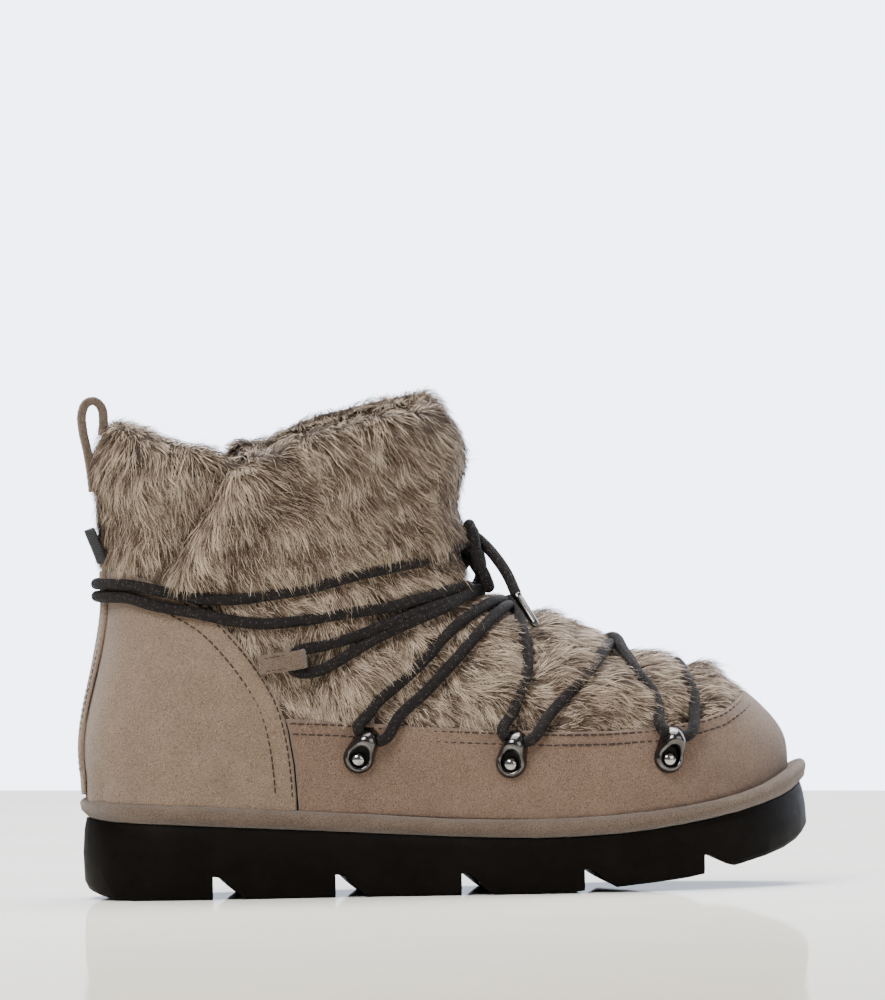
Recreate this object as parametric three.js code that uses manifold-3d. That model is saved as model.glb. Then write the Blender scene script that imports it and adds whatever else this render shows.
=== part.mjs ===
// A right-foot ankle boot in sheepskin and suede on a platform sole, millimetres, +Z up.
// +X points to the toe, -Y is the outer (lateral) side, the sole stands on z = 0.
import * as THREE from 'three';
import { mergeVertices } from 'three/addons/utils/BufferGeometryUtils.js';
import Module from 'manifold-3d';

const wasm = await Module();
wasm.setup();

// ---- driving dimensions -------------------------------------------------------------
const GAP = 0.3; // clearance between neighbouring pieces
const HEEL_X = -140; // rearmost point of the outsole
const TOE_X = 142.5; // foremost point of the outsole
const FEATHER_HEEL_X = -137; // ends of the line where the upper meets the sole
const FEATHER_TOE_X = 134.5;
const LEDGE = 5; // how far the outsole stands outside the feather line
const WRAP_PROUD = 1.4; // how far the midsole wrap stands outside the outsole
const INSOLE_THICK = 4;
const PANEL = 2; // thickness of the suede overlays
const LACE_D = 4.6;
const LACE_R = LACE_D / 2;
const LACE_STEP = 14; // length of a facet along the lace
const LACE_SIDES = 6; // facets round it
const LACE_CLEAR = 1.4; // what the chords of its facets need above the upper
const BIG = 400; // reach of the cutting blocks

const COLOR = {
  suede: 0xa38c7a,
  guard: 0x96796a,
  fur: 0x8f8172,
  fleece: 0x9c8c7c,
  rubber: 0x1c1815,
  lace: 0x2a2422,
  steel: 0x55524f,
  label: 0x8c8c8c,
};

// Rows of a short table, each turned into an object with the named columns.
function table(columns, rows) {
  return rows.map((row) => Object.fromEntries(columns.map((name, i) => [name, row[i]])));
}

// Plan of the outsole: half widths to the outer and inner side at stations along X.
const PLAN = table(
  ['x', 'outer', 'inner'],
  [
    [-140, 0, 0],
    [-137, 16, 15.5],
    [-129.5, 28, 27],
    [-116, 35.5, 34.5],
    [-98, 39, 37],
    [-72, 40, 36.5],
    [-42, 41.5, 36],
    [-14, 44.5, 38.5],
    [14, 49, 44],
    [40, 52, 49],
    [63, 52, 52],
    [86, 48.5, 51],
    [107, 41, 46],
    [123, 31, 38],
    [134, 18, 28],
    [141, 4, 16],
    [142.5, -6, 6],
  ],
);

// Heights along the sole: the tread, the top of the outsole and the top of the wrap.
const SOLE_SIDE = table(
  ['x', 'tread', 'outsole', 'wrap'],
  [
    [-142, 8, 34.2, 41.8],
    [-137.5, 3.4, 31.8, 39.6],
    [-132, 1.2, 30.8, 38.4],
    [-124, 0, 30.2, 37.8],
    [-100, 0, 28.8, 36.8],
    [-72, 0, 27.2, 35],
    [-32, 0, 24.8, 32.5],
    [8, 0, 22.5, 29.8],
    [36, 0, 21.6, 29.3],
    [62, 1.8, 22.3, 30.1],
    [80, 3.4, 23.9, 31.4],
    [97, 5.4, 26.3, 33.4],
    [114, 9.3, 29.5, 36.6],
    [125, 12.3, 32.6, 40.2],
    [134, 16, 35.8, 44.8],
    [144, 24, 42, 51],
  ],
);

// Grooves across the tread: rear wall, height above the tread and length.
const GROOVES = table(
  ['x', 'high', 'long'],
  [
    [-91.8, 9, 12],
    [-43.9, 9, 12],
    [5.1, 8.6, 12],
    [53, 8.6, 12],
    [100.9, 7.6, 12.5],
  ],
);

// Sections of the upper from the toe, over the instep, round the heel and up the shaft.
// Each lies on a line from a point of the back or sole (bx, bz) to a point of the front
// (fx, fz). bz null: the point lies on the sole, and the plan gives the width there.
// ridge: sideways place of the front point; half: half width where it is widest;
// belly: where that is, from 0 (back) to 1 (front); power: squareness; wall: thickness.
const SECTIONS = table(
  ['fx', 'fz', 'bx', 'bz', 'ridge', 'half', 'belly', 'power', 'wall'],
  [
    [134.4, 52, 134.4, null, 6, 0, 0.3, 2.2, 6],
    [133.9, 56, 133.9, null, 6, 0, 0.28, 2.2, 6],
    [132.4, 60, 132.4, null, 6, 0, 0.26, 2.25, 6],
    [129.4, 64.6, 129.4, null, 6, 0, 0.25, 2.3, 6],
    [125, 69.4, 125, null, 5.6, 0, 0.25, 2.35, 6],
    [119, 75, 119, null, 5.2, 0, 0.25, 2.35, 6],
    [112, 80.5, 112, null, 4.8, 0, 0.24, 2.35, 6],
    [103, 85, 103, null, 4.2, 0, 0.23, 2.35, 6.5],
    [92, 87.4, 92, null, 3.6, 0, 0.22, 2.3, 7],
    [80, 90.6, 80, null, 3, 0, 0.22, 2.25, 7],
    [68, 94.6, 68, null, 2.6, 0, 0.22, 2.2, 7],
    [56, 99.6, 54, null, 2.2, 0, 0.22, 2.15, 7],
    [45, 103.4, 38, null, 2, 0, 0.22, 2.1, 7],
    [36, 106.6, 20, null, 1.6, 41.8, 0.24, 2.1, 7],
    [28.5, 110.4, 0, null, 1.2, 40.4, 0.27, 2.15, 7],
    [22.5, 113.2, -24, null, 0.8, 39.2, 0.31, 2.2, 7],
    [18, 114.6, -50, null, 0.4, 38.4, 0.35, 2.3, 7],
    [15, 115.6, -76, null, 0, 38, 0.38, 2.4, 7],
    [13, 116.8, -100, null, 0, 38, 0.41, 2.5, 7],
    [11.8, 118, -118, null, 0, 38, 0.43, 2.6, 7],
    [11.2, 119.4, -129.5, null, 0, 38, 0.45, 2.7, 7],
    [10.8, 121, -135, null, 0, 38, 0.46, 2.7, 7],
    [9.8, 123, -137.4, 48, 0, 38.2, 0.47, 2.65, 7],
    [9.3, 125.4, -138, 60, 0, 38.4, 0.48, 2.5, 7],
    [8.9, 128.8, -136.2, 75, 0, 38.6, 0.49, 2.35, 7],
    [8.7, 133.6, -132, 92, 0, 38.8, 0.5, 2.2, 7.5],
    [8.6, 140, -128.2, 112, 0, 39.4, 0.5, 2.15, 8],
    [8.7, 149, -128.6, 131, 0, 41, 0.5, 2.15, 9],
    [9, 159, -130, 149, 0, 42.6, 0.51, 2.15, 9.5],
    [8.6, 169, -131.6, 164, 0, 43.6, 0.51, 2.15, 10],
    [7.4, 179, -131, 174.4, 0, 43.6, 0.51, 2.1, 10],
    [4.2, 187.4, -128.6, 181, 0, 42.6, 0.51, 2.1, 10],
  ],
);
const LIP = 5; // radius of the rounded collar edge
const LIP_STEPS = 4;
// The collar dips to a notch on each side; the dip grows over the last sections.
const DIP = { depth: 17.5, at: 0.385, rear: 1, front: 1.9, sections: 5 };
const SIDE_STEPS = 9; // facets from the front point to the sole, on each side
const BASE_STEPS = 4; // facets across the sole
const OPEN_DEPTH = 12; // how far the hollow runs on below the sole line

// ---- small geometry tools -----------------------------------------------------------
// Smooth curve without overshoot through a column of a table.
function along(rows, column) {
  const x = rows.map((row) => row.x);
  const y = rows.map((row) => row[column]);
  const slope = x.slice(1).map((value, i) => (y[i + 1] - y[i]) / (value - x[i]));
  const tangent = x.map((_, i) => {
    if (i === 0) return slope[0];
    if (i === x.length - 1) return slope[i - 1];
    if (slope[i - 1] * slope[i] <= 0) return 0;
    return (2 * slope[i - 1] * slope[i]) / (slope[i - 1] + slope[i]);
  });
  return (at) => {
    const value = THREE.MathUtils.clamp(at, x[0], x[x.length - 1]);
    let i = 0;
    while (i < x.length - 2 && value > x[i + 1]) i += 1;
    const run = x[i + 1] - x[i];
    const t = (value - x[i]) / run;
    const h = t * t * (3 - 2 * t);
    const start = t * (1 - t) * (1 - t) * run * tangent[i];
    const end = t * t * (t - 1) * run * tangent[i + 1];
    return y[i] * (1 - h) + y[i + 1] * h + start + end;
  };
}

function smooth(low, high, value) {
  return THREE.MathUtils.smoothstep(value, low, high);
}

function geometryOf(points, faces) {
  const geometry = new THREE.BufferGeometry();
  const flat = points.flatMap((p) => [p.x, p.y, p.z]);
  geometry.setAttribute('position', new THREE.Float32BufferAttribute(flat, 3));
  geometry.setIndex(faces.flat());
  return geometry;
}

function solidOf(geometry) {
  const bare = geometry.clone();
  bare.deleteAttribute('normal');
  bare.deleteAttribute('uv');
  const merged = mergeVertices(bare, 1e-4);
  const solid = new wasm.Manifold(
    new wasm.Mesh({
      numProp: 3,
      vertProperties: new Float32Array(merged.attributes.position.array),
      triVerts: new Uint32Array(merged.index.array),
    }),
  );
  return solid;
}

function meshOf(name, solid, color, roughness, metalness = 0) {
  const made = solid.getMesh();
  const geometry = new THREE.BufferGeometry();
  geometry.setAttribute('position', new THREE.BufferAttribute(made.vertProperties, 3));
  geometry.setIndex(new THREE.BufferAttribute(made.triVerts, 1));
  geometry.computeVertexNormals();
  const material = new THREE.MeshStandardMaterial({ color, roughness, metalness });
  const mesh = new THREE.Mesh(geometry, material);
  mesh.name = name;
  return mesh;
}

// Closed skin over rings of equal length. Each end is closed by the given faces.
function skin(rings, closeEnd) {
  const count = rings[0].length;
  const faces = [];
  for (let i = 0; i + 1 < rings.length; i += 1) {
    for (let j = 0; j < count; j += 1) {
      const k = (j + 1) % count;
      const [a, b] = [i * count + j, i * count + k];
      const [c, d] = [a + count, b + count];
      faces.push([a, b, d], [a, d, c]);
    }
  }
  const last = (rings.length - 1) * count;
  closeEnd(0, count).forEach(([a, b, c]) => faces.push([a, c, b]));
  closeEnd(last, count).forEach((face) => faces.push(face));
  const points = rings.flat();
  return { points, faces };
}

// A solid from a skin, turned to face outwards.
function solidOfSkin({ points, faces }) {
  let solid = solidOf(geometryOf(points, faces));
  if (solid.volume() < 0) {
    solid = solidOf(geometryOf(points, faces.map(([a, b, c]) => [a, c, b])));
  }
  return solid;
}

// Outline in the XZ plane, pushed through the whole boot along Y.
function acrossBlock(shape, from = -BIG / 2, to = BIG / 2) {
  const geometry = new THREE.ExtrudeGeometry(shape, {
    depth: to - from,
    bevelEnabled: false,
    curveSegments: 8,
  });
  geometry.rotateX(Math.PI / 2); // shape x, y become X, Z and its depth runs along -Y
  geometry.translate(0, to, 0);
  return solidOf(geometry);
}

function shapeOf(points) {
  return new THREE.Shape(points.map(([x, y]) => new THREE.Vector2(x, y)));
}

// Round tube with flat ends along a smooth curve through the points.
function tube(points, radius, sides = 8, step = 2.4) {
  const curve = new THREE.CatmullRomCurve3(points, false, 'centripetal');
  const steps = Math.min(80, Math.max(4, Math.round(curve.getLength() / (step * 2 * radius))));
  const circle = new THREE.Shape();
  const turn = (2 * Math.PI) / sides;
  const corners = Array.from({ length: sides }, (_, i) => {
    return new THREE.Vector2(radius * Math.cos(i * turn), radius * Math.sin(i * turn));
  });
  circle.setFromPoints(corners);
  return new THREE.ExtrudeGeometry(circle, { steps, extrudePath: curve, bevelEnabled: false });
}

function union(solids) {
  return solids.reduce((sum, solid) => sum.add(solid));
}

// ---- plan of the sole and of the feather line ---------------------------------------
const planCurve = new THREE.CatmullRomCurve3(
  [
    ...PLAN.map((row) => new THREE.Vector3(row.x, -row.outer, 0)),
    ...PLAN.slice(1, -1).reverse().map((row) => new THREE.Vector3(row.x, row.inner, 0)),
  ],
  true,
  'centripetal',
);

// The plan moved outwards by a distance, as two sides that run from heel to toe.
function plan(offset) {
  const samples = 400;
  const points = Array.from({ length: samples }, (_, i) => {
    const at = planCurve.getPoint(i / samples);
    const tangent = planCurve.getTangent(i / samples);
    return new THREE.Vector2(at.x + tangent.y * offset, at.y - tangent.x * offset);
  });
  const heel = points.reduce((a, b) => (b.x < a.x ? b : a));
  const toe = points.reduce((a, b) => (b.x > a.x ? b : a));
  const middle = (x) => {
    const t = (x - heel.x) / (toe.x - heel.x);
    return heel.y + (toe.y - heel.y) * t;
  };
  const side = (sign) => {
    const own = points.filter((p) => p === heel || p === toe || sign * (p.y - middle(p.x)) > 0);
    own.sort((a, b) => a.x - b.x);
    return (x) => {
      const value = THREE.MathUtils.clamp(x, heel.x, toe.x);
      let i = 0;
      while (i < own.length - 2 && value > own[i + 1].x) i += 1;
      const t = (value - own[i].x) / Math.max(own[i + 1].x - own[i].x, 1e-9);
      return own[i].y + (own[i + 1].y - own[i].y) * t;
    };
  };
  return { heelX: heel.x, toeX: toe.x, outer: side(-1), inner: side(1) };
}

const PLAN_STATIONS = 26;
// Ring round the plan: the outer side from heel to toe, then the inner side back.
function planRing(offset, heightAt) {
  const shape = plan(offset);
  const at = (i) => {
    const t = (1 - Math.cos((Math.PI * i) / PLAN_STATIONS)) / 2;
    return shape.heelX + (shape.toeX - shape.heelX) * t;
  };
  const ring = [];
  for (let i = 0; i <= PLAN_STATIONS; i += 1) {
    ring.push(new THREE.Vector3(at(i), shape.outer(at(i)), heightAt(at(i))));
  }
  for (let i = PLAN_STATIONS - 1; i > 0; i -= 1) {
    ring.push(new THREE.Vector3(at(i), shape.inner(at(i)), heightAt(at(i))));
  }
  return ring;
}

// Strips from side to side that close a plan ring.
function closePlan(first, count) {
  const faces = [];
  const opposite = (i) => first + ((count - i) % count);
  for (let i = 0; i < count / 2; i += 1) {
    const [a, b] = [first + i, first + i + 1];
    const [c, d] = [opposite(i), opposite(i + 1)];
    if (b !== d) faces.push([a, b, d]);
    if (a !== c) faces.push([a, d, c]);
  }
  return faces;
}

function plate(levels) {
  const rings = levels.map(({ offset, height }) => planRing(offset, height));
  return solidOfSkin(skin(rings, closePlan));
}

const treadZ = along(SOLE_SIDE, 'tread');
const outsoleZ = along(SOLE_SIDE, 'outsole');
const wrapZ = along(SOLE_SIDE, 'wrap');
const seatZ = (x) => wrapZ(x) + GAP; // where the upper and the insole sit

// ---- outsole and midsole ------------------------------------------------------------
function outsole() {
  const between = (t) => (x) => treadZ(x) * (1 - t) + outsoleZ(x) * t;
  const body = plate([
    { offset: -1.6, height: treadZ },
    { offset: 0, height: (x) => treadZ(x) + 1.6 },
    { offset: 0.4, height: between(0.45) },
    { offset: -0.2, height: between(0.8) },
    { offset: -1.2, height: outsoleZ },
  ]);
  const grooves = GROOVES.map(({ x, high, long }) => {
    const low = treadZ(x) - 12;
    const top = treadZ(x) + high;
    const shape = new THREE.Shape();
    shape.moveTo(x, low);
    shape.lineTo(x + long + 1.5, low);
    shape.lineTo(x + long + 1.5, treadZ(x + long) - 0.4);
    shape.quadraticCurveTo(x + long * 0.62, top - high * 0.55, x + long * 0.42, top - 1.6);
    shape.quadraticCurveTo(x + long * 0.24, top, x, top);
    return acrossBlock(shape);
  });
  return body.subtract(union(grooves));
}

function midsoleWrap() {
  const low = (x) => outsoleZ(x) + GAP;
  return plate([
    { offset: -2, height: low },
    { offset: WRAP_PROUD - 0.6, height: (x) => low(x) + 1.2 },
    { offset: WRAP_PROUD, height: (x) => low(x) * 0.5 + wrapZ(x) * 0.5 },
    { offset: WRAP_PROUD - 0.7, height: (x) => wrapZ(x) - 1.3 },
    { offset: -1.4, height: wrapZ },
  ]);
}

// ---- the upper's form ---------------------------------------------------------------
// Half widths of the feather line, the plan of the sole drawn in by the ledge.
function featherLine() {
  const shape = plan(-LEDGE);
  const scale = (shape.toeX - shape.heelX) / (FEATHER_TOE_X - FEATHER_HEEL_X);
  const from = (x) => shape.heelX + (x - FEATHER_HEEL_X) * scale;
  return { outer: (x) => -shape.outer(from(x)), inner: (x) => shape.inner(from(x)) };
}
const feather = featherLine();

// One section as a ring of points. grow moves the skin out, or in when negative; with
// openBelow the part on the sole runs on downwards instead of closing there.
function sectionRing(row, grow, openBelow, lift = 0, dip = 0) {
  const onSole = row.bz === null;
  const toeShift = grow * smooth(100, FEATHER_TOE_X, row.bx);
  const heelShift = grow * smooth(100, -FEATHER_HEEL_X, -row.bx);
  const base = new THREE.Vector2(row.bx, onSole ? 0 : row.bz);
  const front = new THREE.Vector2(row.fx, row.fz);
  if (onSole) {
    base.x += toeShift - heelShift;
    base.y = seatZ(base.x);
    front.x += toeShift;
  }
  const axis = front.clone().sub(base).normalize();
  front.addScaledVector(axis, grow);
  if (!onSole) base.addScaledVector(axis, -grow);
  const sides = ['outer', 'inner'].map((side) => {
    const sign = side === 'outer' ? -1 : 1;
    const floor = onSole ? Math.max(feather[side](row.bx) - sign * row.ridge + grow, 1) : 0;
    const widest = row.half > 0 ? row.half + grow - sign * row.ridge : floor * 1.02;
    const half = Math.max(widest, floor * 1.004, 1.2);
    const cut = Math.min(1, Math.pow(Math.max(0, 1 - Math.pow(floor / half, row.power)), 1 / row.power));
    const closing = Math.acos(-Math.pow(cut, row.power / 2));
    const corner = Math.min(closing, THREE.MathUtils.degToRad(150));
    return { sign, half, cut, corner };
  });
  const pointAt = ({ sign, half, cut }, angle) => {
    const c = Math.cos(angle);
    const reach = c >= 0 ? 1 - row.belly : row.belly / Math.max(cut, 1e-6);
    const v = Math.max(0, row.belly + Math.sign(c) * reach * Math.pow(Math.abs(c), 2 / row.power));
    const y = row.ridge + sign * half * Math.pow(Math.abs(Math.sin(angle)), 2 / row.power);
    const { depth, at, rear } = DIP;
    const fall = v < at ? Math.pow(v / at, rear) : Math.pow((1 - v) / (1 - at), DIP.front);
    const place = base.clone().lerp(front, v);
    return new THREE.Vector3(place.x, y, place.y + lift - dip * depth * fall);
  };
  const ring = [];
  const [outer, inner] = sides;
  for (let i = 0; i <= SIDE_STEPS; i += 1) {
    ring.push(pointAt(outer, outer.corner * (1 - i / SIDE_STEPS)));
  }
  for (let i = 1; i <= SIDE_STEPS; i += 1) {
    ring.push(pointAt(inner, (inner.corner * i) / SIDE_STEPS));
  }
  const [first, last] = [ring[0], ring[ring.length - 1]];
  const down = new THREE.Vector3(0, 0, openBelow && onSole ? -OPEN_DEPTH : 0);
  for (let i = 1; i < BASE_STEPS; i += 1) {
    const t = i / BASE_STEPS;
    const near = t < 0.5 ? inner : outer;
    const share = t < 0.5 ? 2 * t : 2 - 2 * t;
    const across = openBelow ? smooth(0.25, 0.75, t) : t;
    if (onSole) ring.push(last.clone().lerp(first, across).add(down));
    else ring.push(pointAt(near, near.corner + (Math.PI - near.corner) * share));
  }
  return ring;
}

// Both halves of a ring joined by strips from side to side.
function closeRing(first, count) {
  const faces = [];
  let [low, high] = [0, count - 1];
  while (high - low > 1) {
    faces.push([first + low, first + low + 1, first + high]);
    low += 1;
    if (high - low > 1) {
      faces.push([first + low, first + high - 1, first + high]);
      high -= 1;
    }
  }
  return faces;
}

function dipShare(index) {
  const left = SECTIONS.length - 1 - index;
  return left < DIP.sections ? Math.pow(1 - left / DIP.sections, 1.3) : 0;
}

// The outer form of the upper, grown by a distance.
function outerForm(grow, withLip = true) {
  const rings = SECTIONS.map((row, i) => sectionRing(row, grow, false, 0, dipShare(i)));
  if (withLip) {
    const top = SECTIONS[SECTIONS.length - 1];
    for (let i = 1; i <= LIP_STEPS; i += 1) {
      const angle = (i / LIP_STEPS) * Math.PI * 0.8;
      const inset = LIP * (1 - Math.cos(angle));
      rings.push(sectionRing(top, grow - inset, false, LIP * Math.sin(angle), 1));
    }
  }
  return solidOfSkin(skin(rings, closeRing));
}

// The room for the foot: inside the wall, open at the sole and past the collar.
function innerForm(clearance = 0) {
  const rings = SECTIONS.map((row, i) => ({ row, i }))
    .filter(({ row }) => row.fx < FEATHER_TOE_X - 1)
    .map(({ row, i }) => sectionRing(row, -row.wall - clearance, true, 0, dipShare(i)));
  const top = SECTIONS[SECTIONS.length - 1];
  rings.push(sectionRing(top, -top.wall - clearance, false, 40, 1));
  return solidOfSkin(skin(rings, closeRing));
}

function upper() {
  return outerForm(0).subtract(innerForm());
}

function insole() {
  const slab = plate([
    { offset: -LEDGE, height: seatZ },
    { offset: -LEDGE, height: (x) => seatZ(x) + INSOLE_THICK },
  ]);
  return slab.intersect(innerForm(GAP));
}

// ---- suede overlays, cut between two larger forms of the upper -------------------------
// A shell round the upper, thick mm thick, starting inset mm outside its form.
function shell(inset, thick) {
  const rings = SECTIONS.map((row, i) => sectionRing(row, inset, true, 0, dipShare(i)));
  const inside = solidOfSkin(skin(rings, closeRing));
  return outerForm(inset + thick, false).subtract(inside);
}

// Upper edge and front edge of the heel counter, and upper edge of the mudguard, side view.
const COUNTER_EDGE = [
  [-160, 129.6], [-125.4, 129.3], [-118, 127], [-104, 120.4], [-89.6, 111.4],
  [-79.8, 101], [-72, 90.4], [-65, 77.9], [-61.4, 66], [-59.2, 52], [-58, 36], [-57.6, 18],
];
const GUARD_EDGE = [
  [-75, 71], [-43, 69.2], [-13.6, 66.3], [15.8, 64.5], [41.6, 63], [64.4, 62.8],
  [83.2, 63.4], [98.6, 65.6], [109.6, 68.6], [117, 73.4], [124, 79], [150, 90],
];
const STAY = { half: 8.6, top: 129, thick: 1.5, front: -100 };

function edgeBlock(edge, closing, from, to) {
  const curve = new THREE.SplineCurve(edge.map(([x, z]) => new THREE.Vector2(x, z)));
  return acrossBlock(new THREE.Shape([...curve.getPoints(22), ...closing]), from, to);
}

function corner(x, z) {
  return new THREE.Vector2(x, z);
}

const panelShell = shell(GAP, PANEL);
const counterBlock = edgeBlock(COUNTER_EDGE, [corner(-160, 18)]);
const guardBlock = edgeBlock(GUARD_EDGE, [corner(150, 18), corner(-75, 18)]);

function heelCounter() {
  return panelShell.intersect(counterBlock);
}

function mudguard() {
  const room = COUNTER_EDGE.map(([x, z]) => [x + GAP, z + GAP]);
  return panelShell.intersect(guardBlock).subtract(edgeBlock(room, [corner(-160, 18)]));
}

function backStay() {
  const { half, top, thick, front } = STAY;
  const shape = shapeOf([[-160, 18], [front, 18], [front, top], [-160, top]]);
  return shell(2 * GAP + PANEL, thick).intersect(acrossBlock(shape, -half, half));
}

// ---- places on the upper --------------------------------------------------------------
const castForm = new THREE.Mesh(
  meshOf('form', outerForm(0), COLOR.fur, 1).geometry,
  new THREE.MeshBasicMaterial({ side: THREE.DoubleSide }),
);
castForm.updateMatrixWorld(true);
const caster = new THREE.Raycaster();

// First point of the upper met from outside, moved off along its normal. A place is
// looked at from the outer or inner side (x, z), the top (x, y), front or back (y, z).
function place(view, a, b, lift = 0) {
  const looks = {
    outer: [[a, -BIG, b], [0, 1, 0]],
    inner: [[a, BIG, b], [0, -1, 0]],
    top: [[a, b, BIG], [0, 0, -1]],
    front: [[BIG, a, b], [-1, 0, 0]],
    back: [[-BIG, a, b], [1, 0, 0]],
  };
  const [origin, direction] = looks[view].map((v) => new THREE.Vector3(...v));
  caster.set(origin, direction);
  const [hit] = caster.intersectObject(castForm);
  if (!hit) throw new Error(`nothing met from the ${view} at ${a}, ${b}`);
  const normal = hit.face.normal.clone();
  if (normal.dot(direction) > 0) normal.negate();
  return { point: hit.point.clone().addScaledVector(normal, lift), normal };
}

// Puts a solid modelled round the origin (x along the surface, y up it, z outwards) there.
function onSurface(solid, { point, normal }, lean) {
  const up = new THREE.Vector3(Math.sin(lean), 0, Math.cos(lean));
  const across = new THREE.Vector3().crossVectors(up, normal).normalize();
  const rise = new THREE.Vector3().crossVectors(normal, across);
  const matrix = new THREE.Matrix4().makeBasis(across, rise, normal).setPosition(point);
  return solid.transform(matrix.elements);
}

// ---- metal lace loops -------------------------------------------------------------------
// A drop-shaped back plate, a drop-shaped ring that leans out from its foot, a hood that
// joins them over the lace, and a domed rivet.
const LOOP = { low: 5.8, high: 3.9, rise: 7.6, plate: 1, wire: 1.5, reach: 5.6, hood: 6.4 };
const EYELETS = table(
  ['number', 'x', 'z', 'lean'],
  [
    [1, -33.8, 54.4, 26],
    [2, 25.8, 51.4, 14],
    [3, 86.4, 51.8, 14],
  ],
);

function drop(inset) {
  const { low, high, rise } = LOOP;
  const shape = new THREE.Shape();
  shape.absarc(0, 0, low - inset, Math.PI, 2 * Math.PI, false);
  shape.absarc(0, rise, high - inset, 0, Math.PI, false);
  return shape;
}

function slab(shape, depth) {
  const options = { depth, bevelEnabled: false, curveSegments: 2 };
  return new THREE.ExtrudeGeometry(shape, options);
}

function laceLoop() {
  const { low, rise, high, plate, wire, reach, hood } = LOOP;
  const tilt = Math.atan2(reach - plate, rise + low);
  const ringShape = drop(0);
  const hole = new THREE.Path();
  hole.absellipse(0, 1.2, low - 1.7, low - 0.3, 0, 2 * Math.PI, true);
  ringShape.holes.push(hole);
  const ring = slab(ringShape, wire).translate(0, low, 0).rotateX(tilt).translate(0, -low, plate - 0.4);
  const top = rise + high;
  const profile = new THREE.Shape();
  const radius = (reach + plate) / 2;
  profile.moveTo(top - 3, 0);
  profile.absarc(top - 3, radius, radius, -Math.PI / 2, Math.PI / 2, false);
  profile.lineTo(top - 3, 2 * radius - 1);
  profile.absarc(top - 3, radius, radius - 1, Math.PI / 2, -Math.PI / 2, true);
  const bend = slab(profile, hood);
  const turn = new THREE.Matrix4().makeBasis(
    new THREE.Vector3(0, 1, 0),
    new THREE.Vector3(0, 0, 1),
    new THREE.Vector3(1, 0, 0),
  );
  bend.applyMatrix4(turn).translate(-hood / 2, 0, 0);
  const rivet = new THREE.SphereGeometry(3.1, 6, 4).scale(1, 1, 0.75).translate(0, -0.6, 1.2);
  const underside = slab(shapeOf([[-9, -9], [9, -9], [9, 14], [-9, 14]]), 6).translate(0, 0, -6);
  return union([slab(drop(0.5), plate), ring, bend, rivet].map(solidOf)).subtract(solidOf(underside));
}

function eyelets() {
  return ['outer', 'inner'].flatMap((side) => EYELETS.map(({ number, x, z, lean }) => {
    const at = place(side, x, z, 2 * GAP + PANEL + 0.6);
    const solid = onSurface(laceLoop(), at, THREE.MathUtils.degToRad(lean));
    return meshOf(`eyelet_${side}_${number}`, solid, COLOR.steel, 0.3, 1);
  }));
}

// ---- pull loop, label and keepers ---------------------------------------------------------
// Outline of a strap seen on its edge: a line of points given a thickness.
function strapShape(points, thick, count = 16) {
  const line = new THREE.SplineCurve(points.map(([x, y]) => new THREE.Vector2(x, y)));
  const side = (sign) => Array.from({ length: count + 1 }, (_, i) => {
    const tangent = line.getTangent(i / count);
    const at = line.getPoint(i / count);
    return at.add(new THREE.Vector2(-tangent.y, tangent.x).multiplyScalar((sign * thick) / 2));
  });
  return new THREE.Shape([...side(1), ...side(-1).reverse()]);
}

const PULL = { half: 5.6, thick: 2.8 };
const PULL_LINE = [
  [-134.2, 166], [-135.6, 174], [-137.2, 183], [-137.4, 190], [-133.6, 195.4],
  [-129.6, 192], [-129, 188.2],
];
const LABEL = [[-137, 143.6], [-133.6, 145.8], [-129, 134], [-132.6, 131]];
const LABEL_HALF = 9;

function pullLoop() {
  const strap = acrossBlock(strapShape(PULL_LINE, PULL.thick), -PULL.half, PULL.half);
  return strap.subtract(outerForm(GAP));
}

function labelTab() {
  return acrossBlock(shapeOf(LABEL), -LABEL_HALF, LABEL_HALF).subtract(outerForm(GAP));
}

const KEEPER = { x: -63.2, z: 92.8, high: 6.4, lean: -8 };
const KEEPER_LINE = [
  [-8, 1.2], [-2, 1.1], [4.5, 1.1], [8.9, 3.6], [8.7, 8.6], [4.2, 10.6], [-2, 8], [-8, 4.2],
];

function keeper(side) {
  const { x, z, high, lean } = KEEPER;
  const sign = side === 'outer' ? 1 : -1;
  const strap = solidOf(slab(strapShape(KEEPER_LINE.map(([u, w]) => [sign * u, w]), 1.5), high));
  const turn = new THREE.Matrix4().makeBasis(
    new THREE.Vector3(1, 0, 0),
    new THREE.Vector3(0, 0, 1),
    new THREE.Vector3(0, -1, 0),
  );
  turn.setPosition(0, high / 2, 0);
  const at = place(side, x, z, GAP);
  return onSurface(strap.transform(turn.elements), at, THREE.MathUtils.degToRad(lean));
}

// ---- the lace ------------------------------------------------------------------------------
// Routes of the lace on one side: the view a point is placed from, its two coordinates in
// that view and the extra lift over panels and through the keeper. 'side' is either side.
const OVER_PANEL = 2.6;
const OVER_STAY = 4.4;
const BAR = [['side', 96.6, 66.5, 2.6], ['side', 98.6, 76, 0], ['top', 97, 24, 0], ['top', 95, 0, 0]];
const CROSS_LOW = {
  from: [['side', 84.6, 67, 2.6], ['side', 82.7, 76.3, 0], ['top', 77, 27, 0], ['top', 72.4, 11, 0]],
  middle: [69.3, 2],
  to: [['top', 65.4, 14, 0], ['side', 56.5, 84.2, 0], ['side', 47.8, 76.2, 0], ['side', 39, 66.6, 2.6]],
};
const CROSS_HIGH = {
  from: [['side', 26.3, 66.5, 2.6], ['side', 28.9, 74.6, 0], ['side', 33.4, 86, 0], ['top', 32.6, 15, 0]],
  middle: [29.6, 1],
  to: [['top', 24.6, 13, 0], ['side', 5.7, 91.9, 0], ['side', -7.1, 79.2, 0], ['side', -19.4, 68.4, 2.6]],
};
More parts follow.
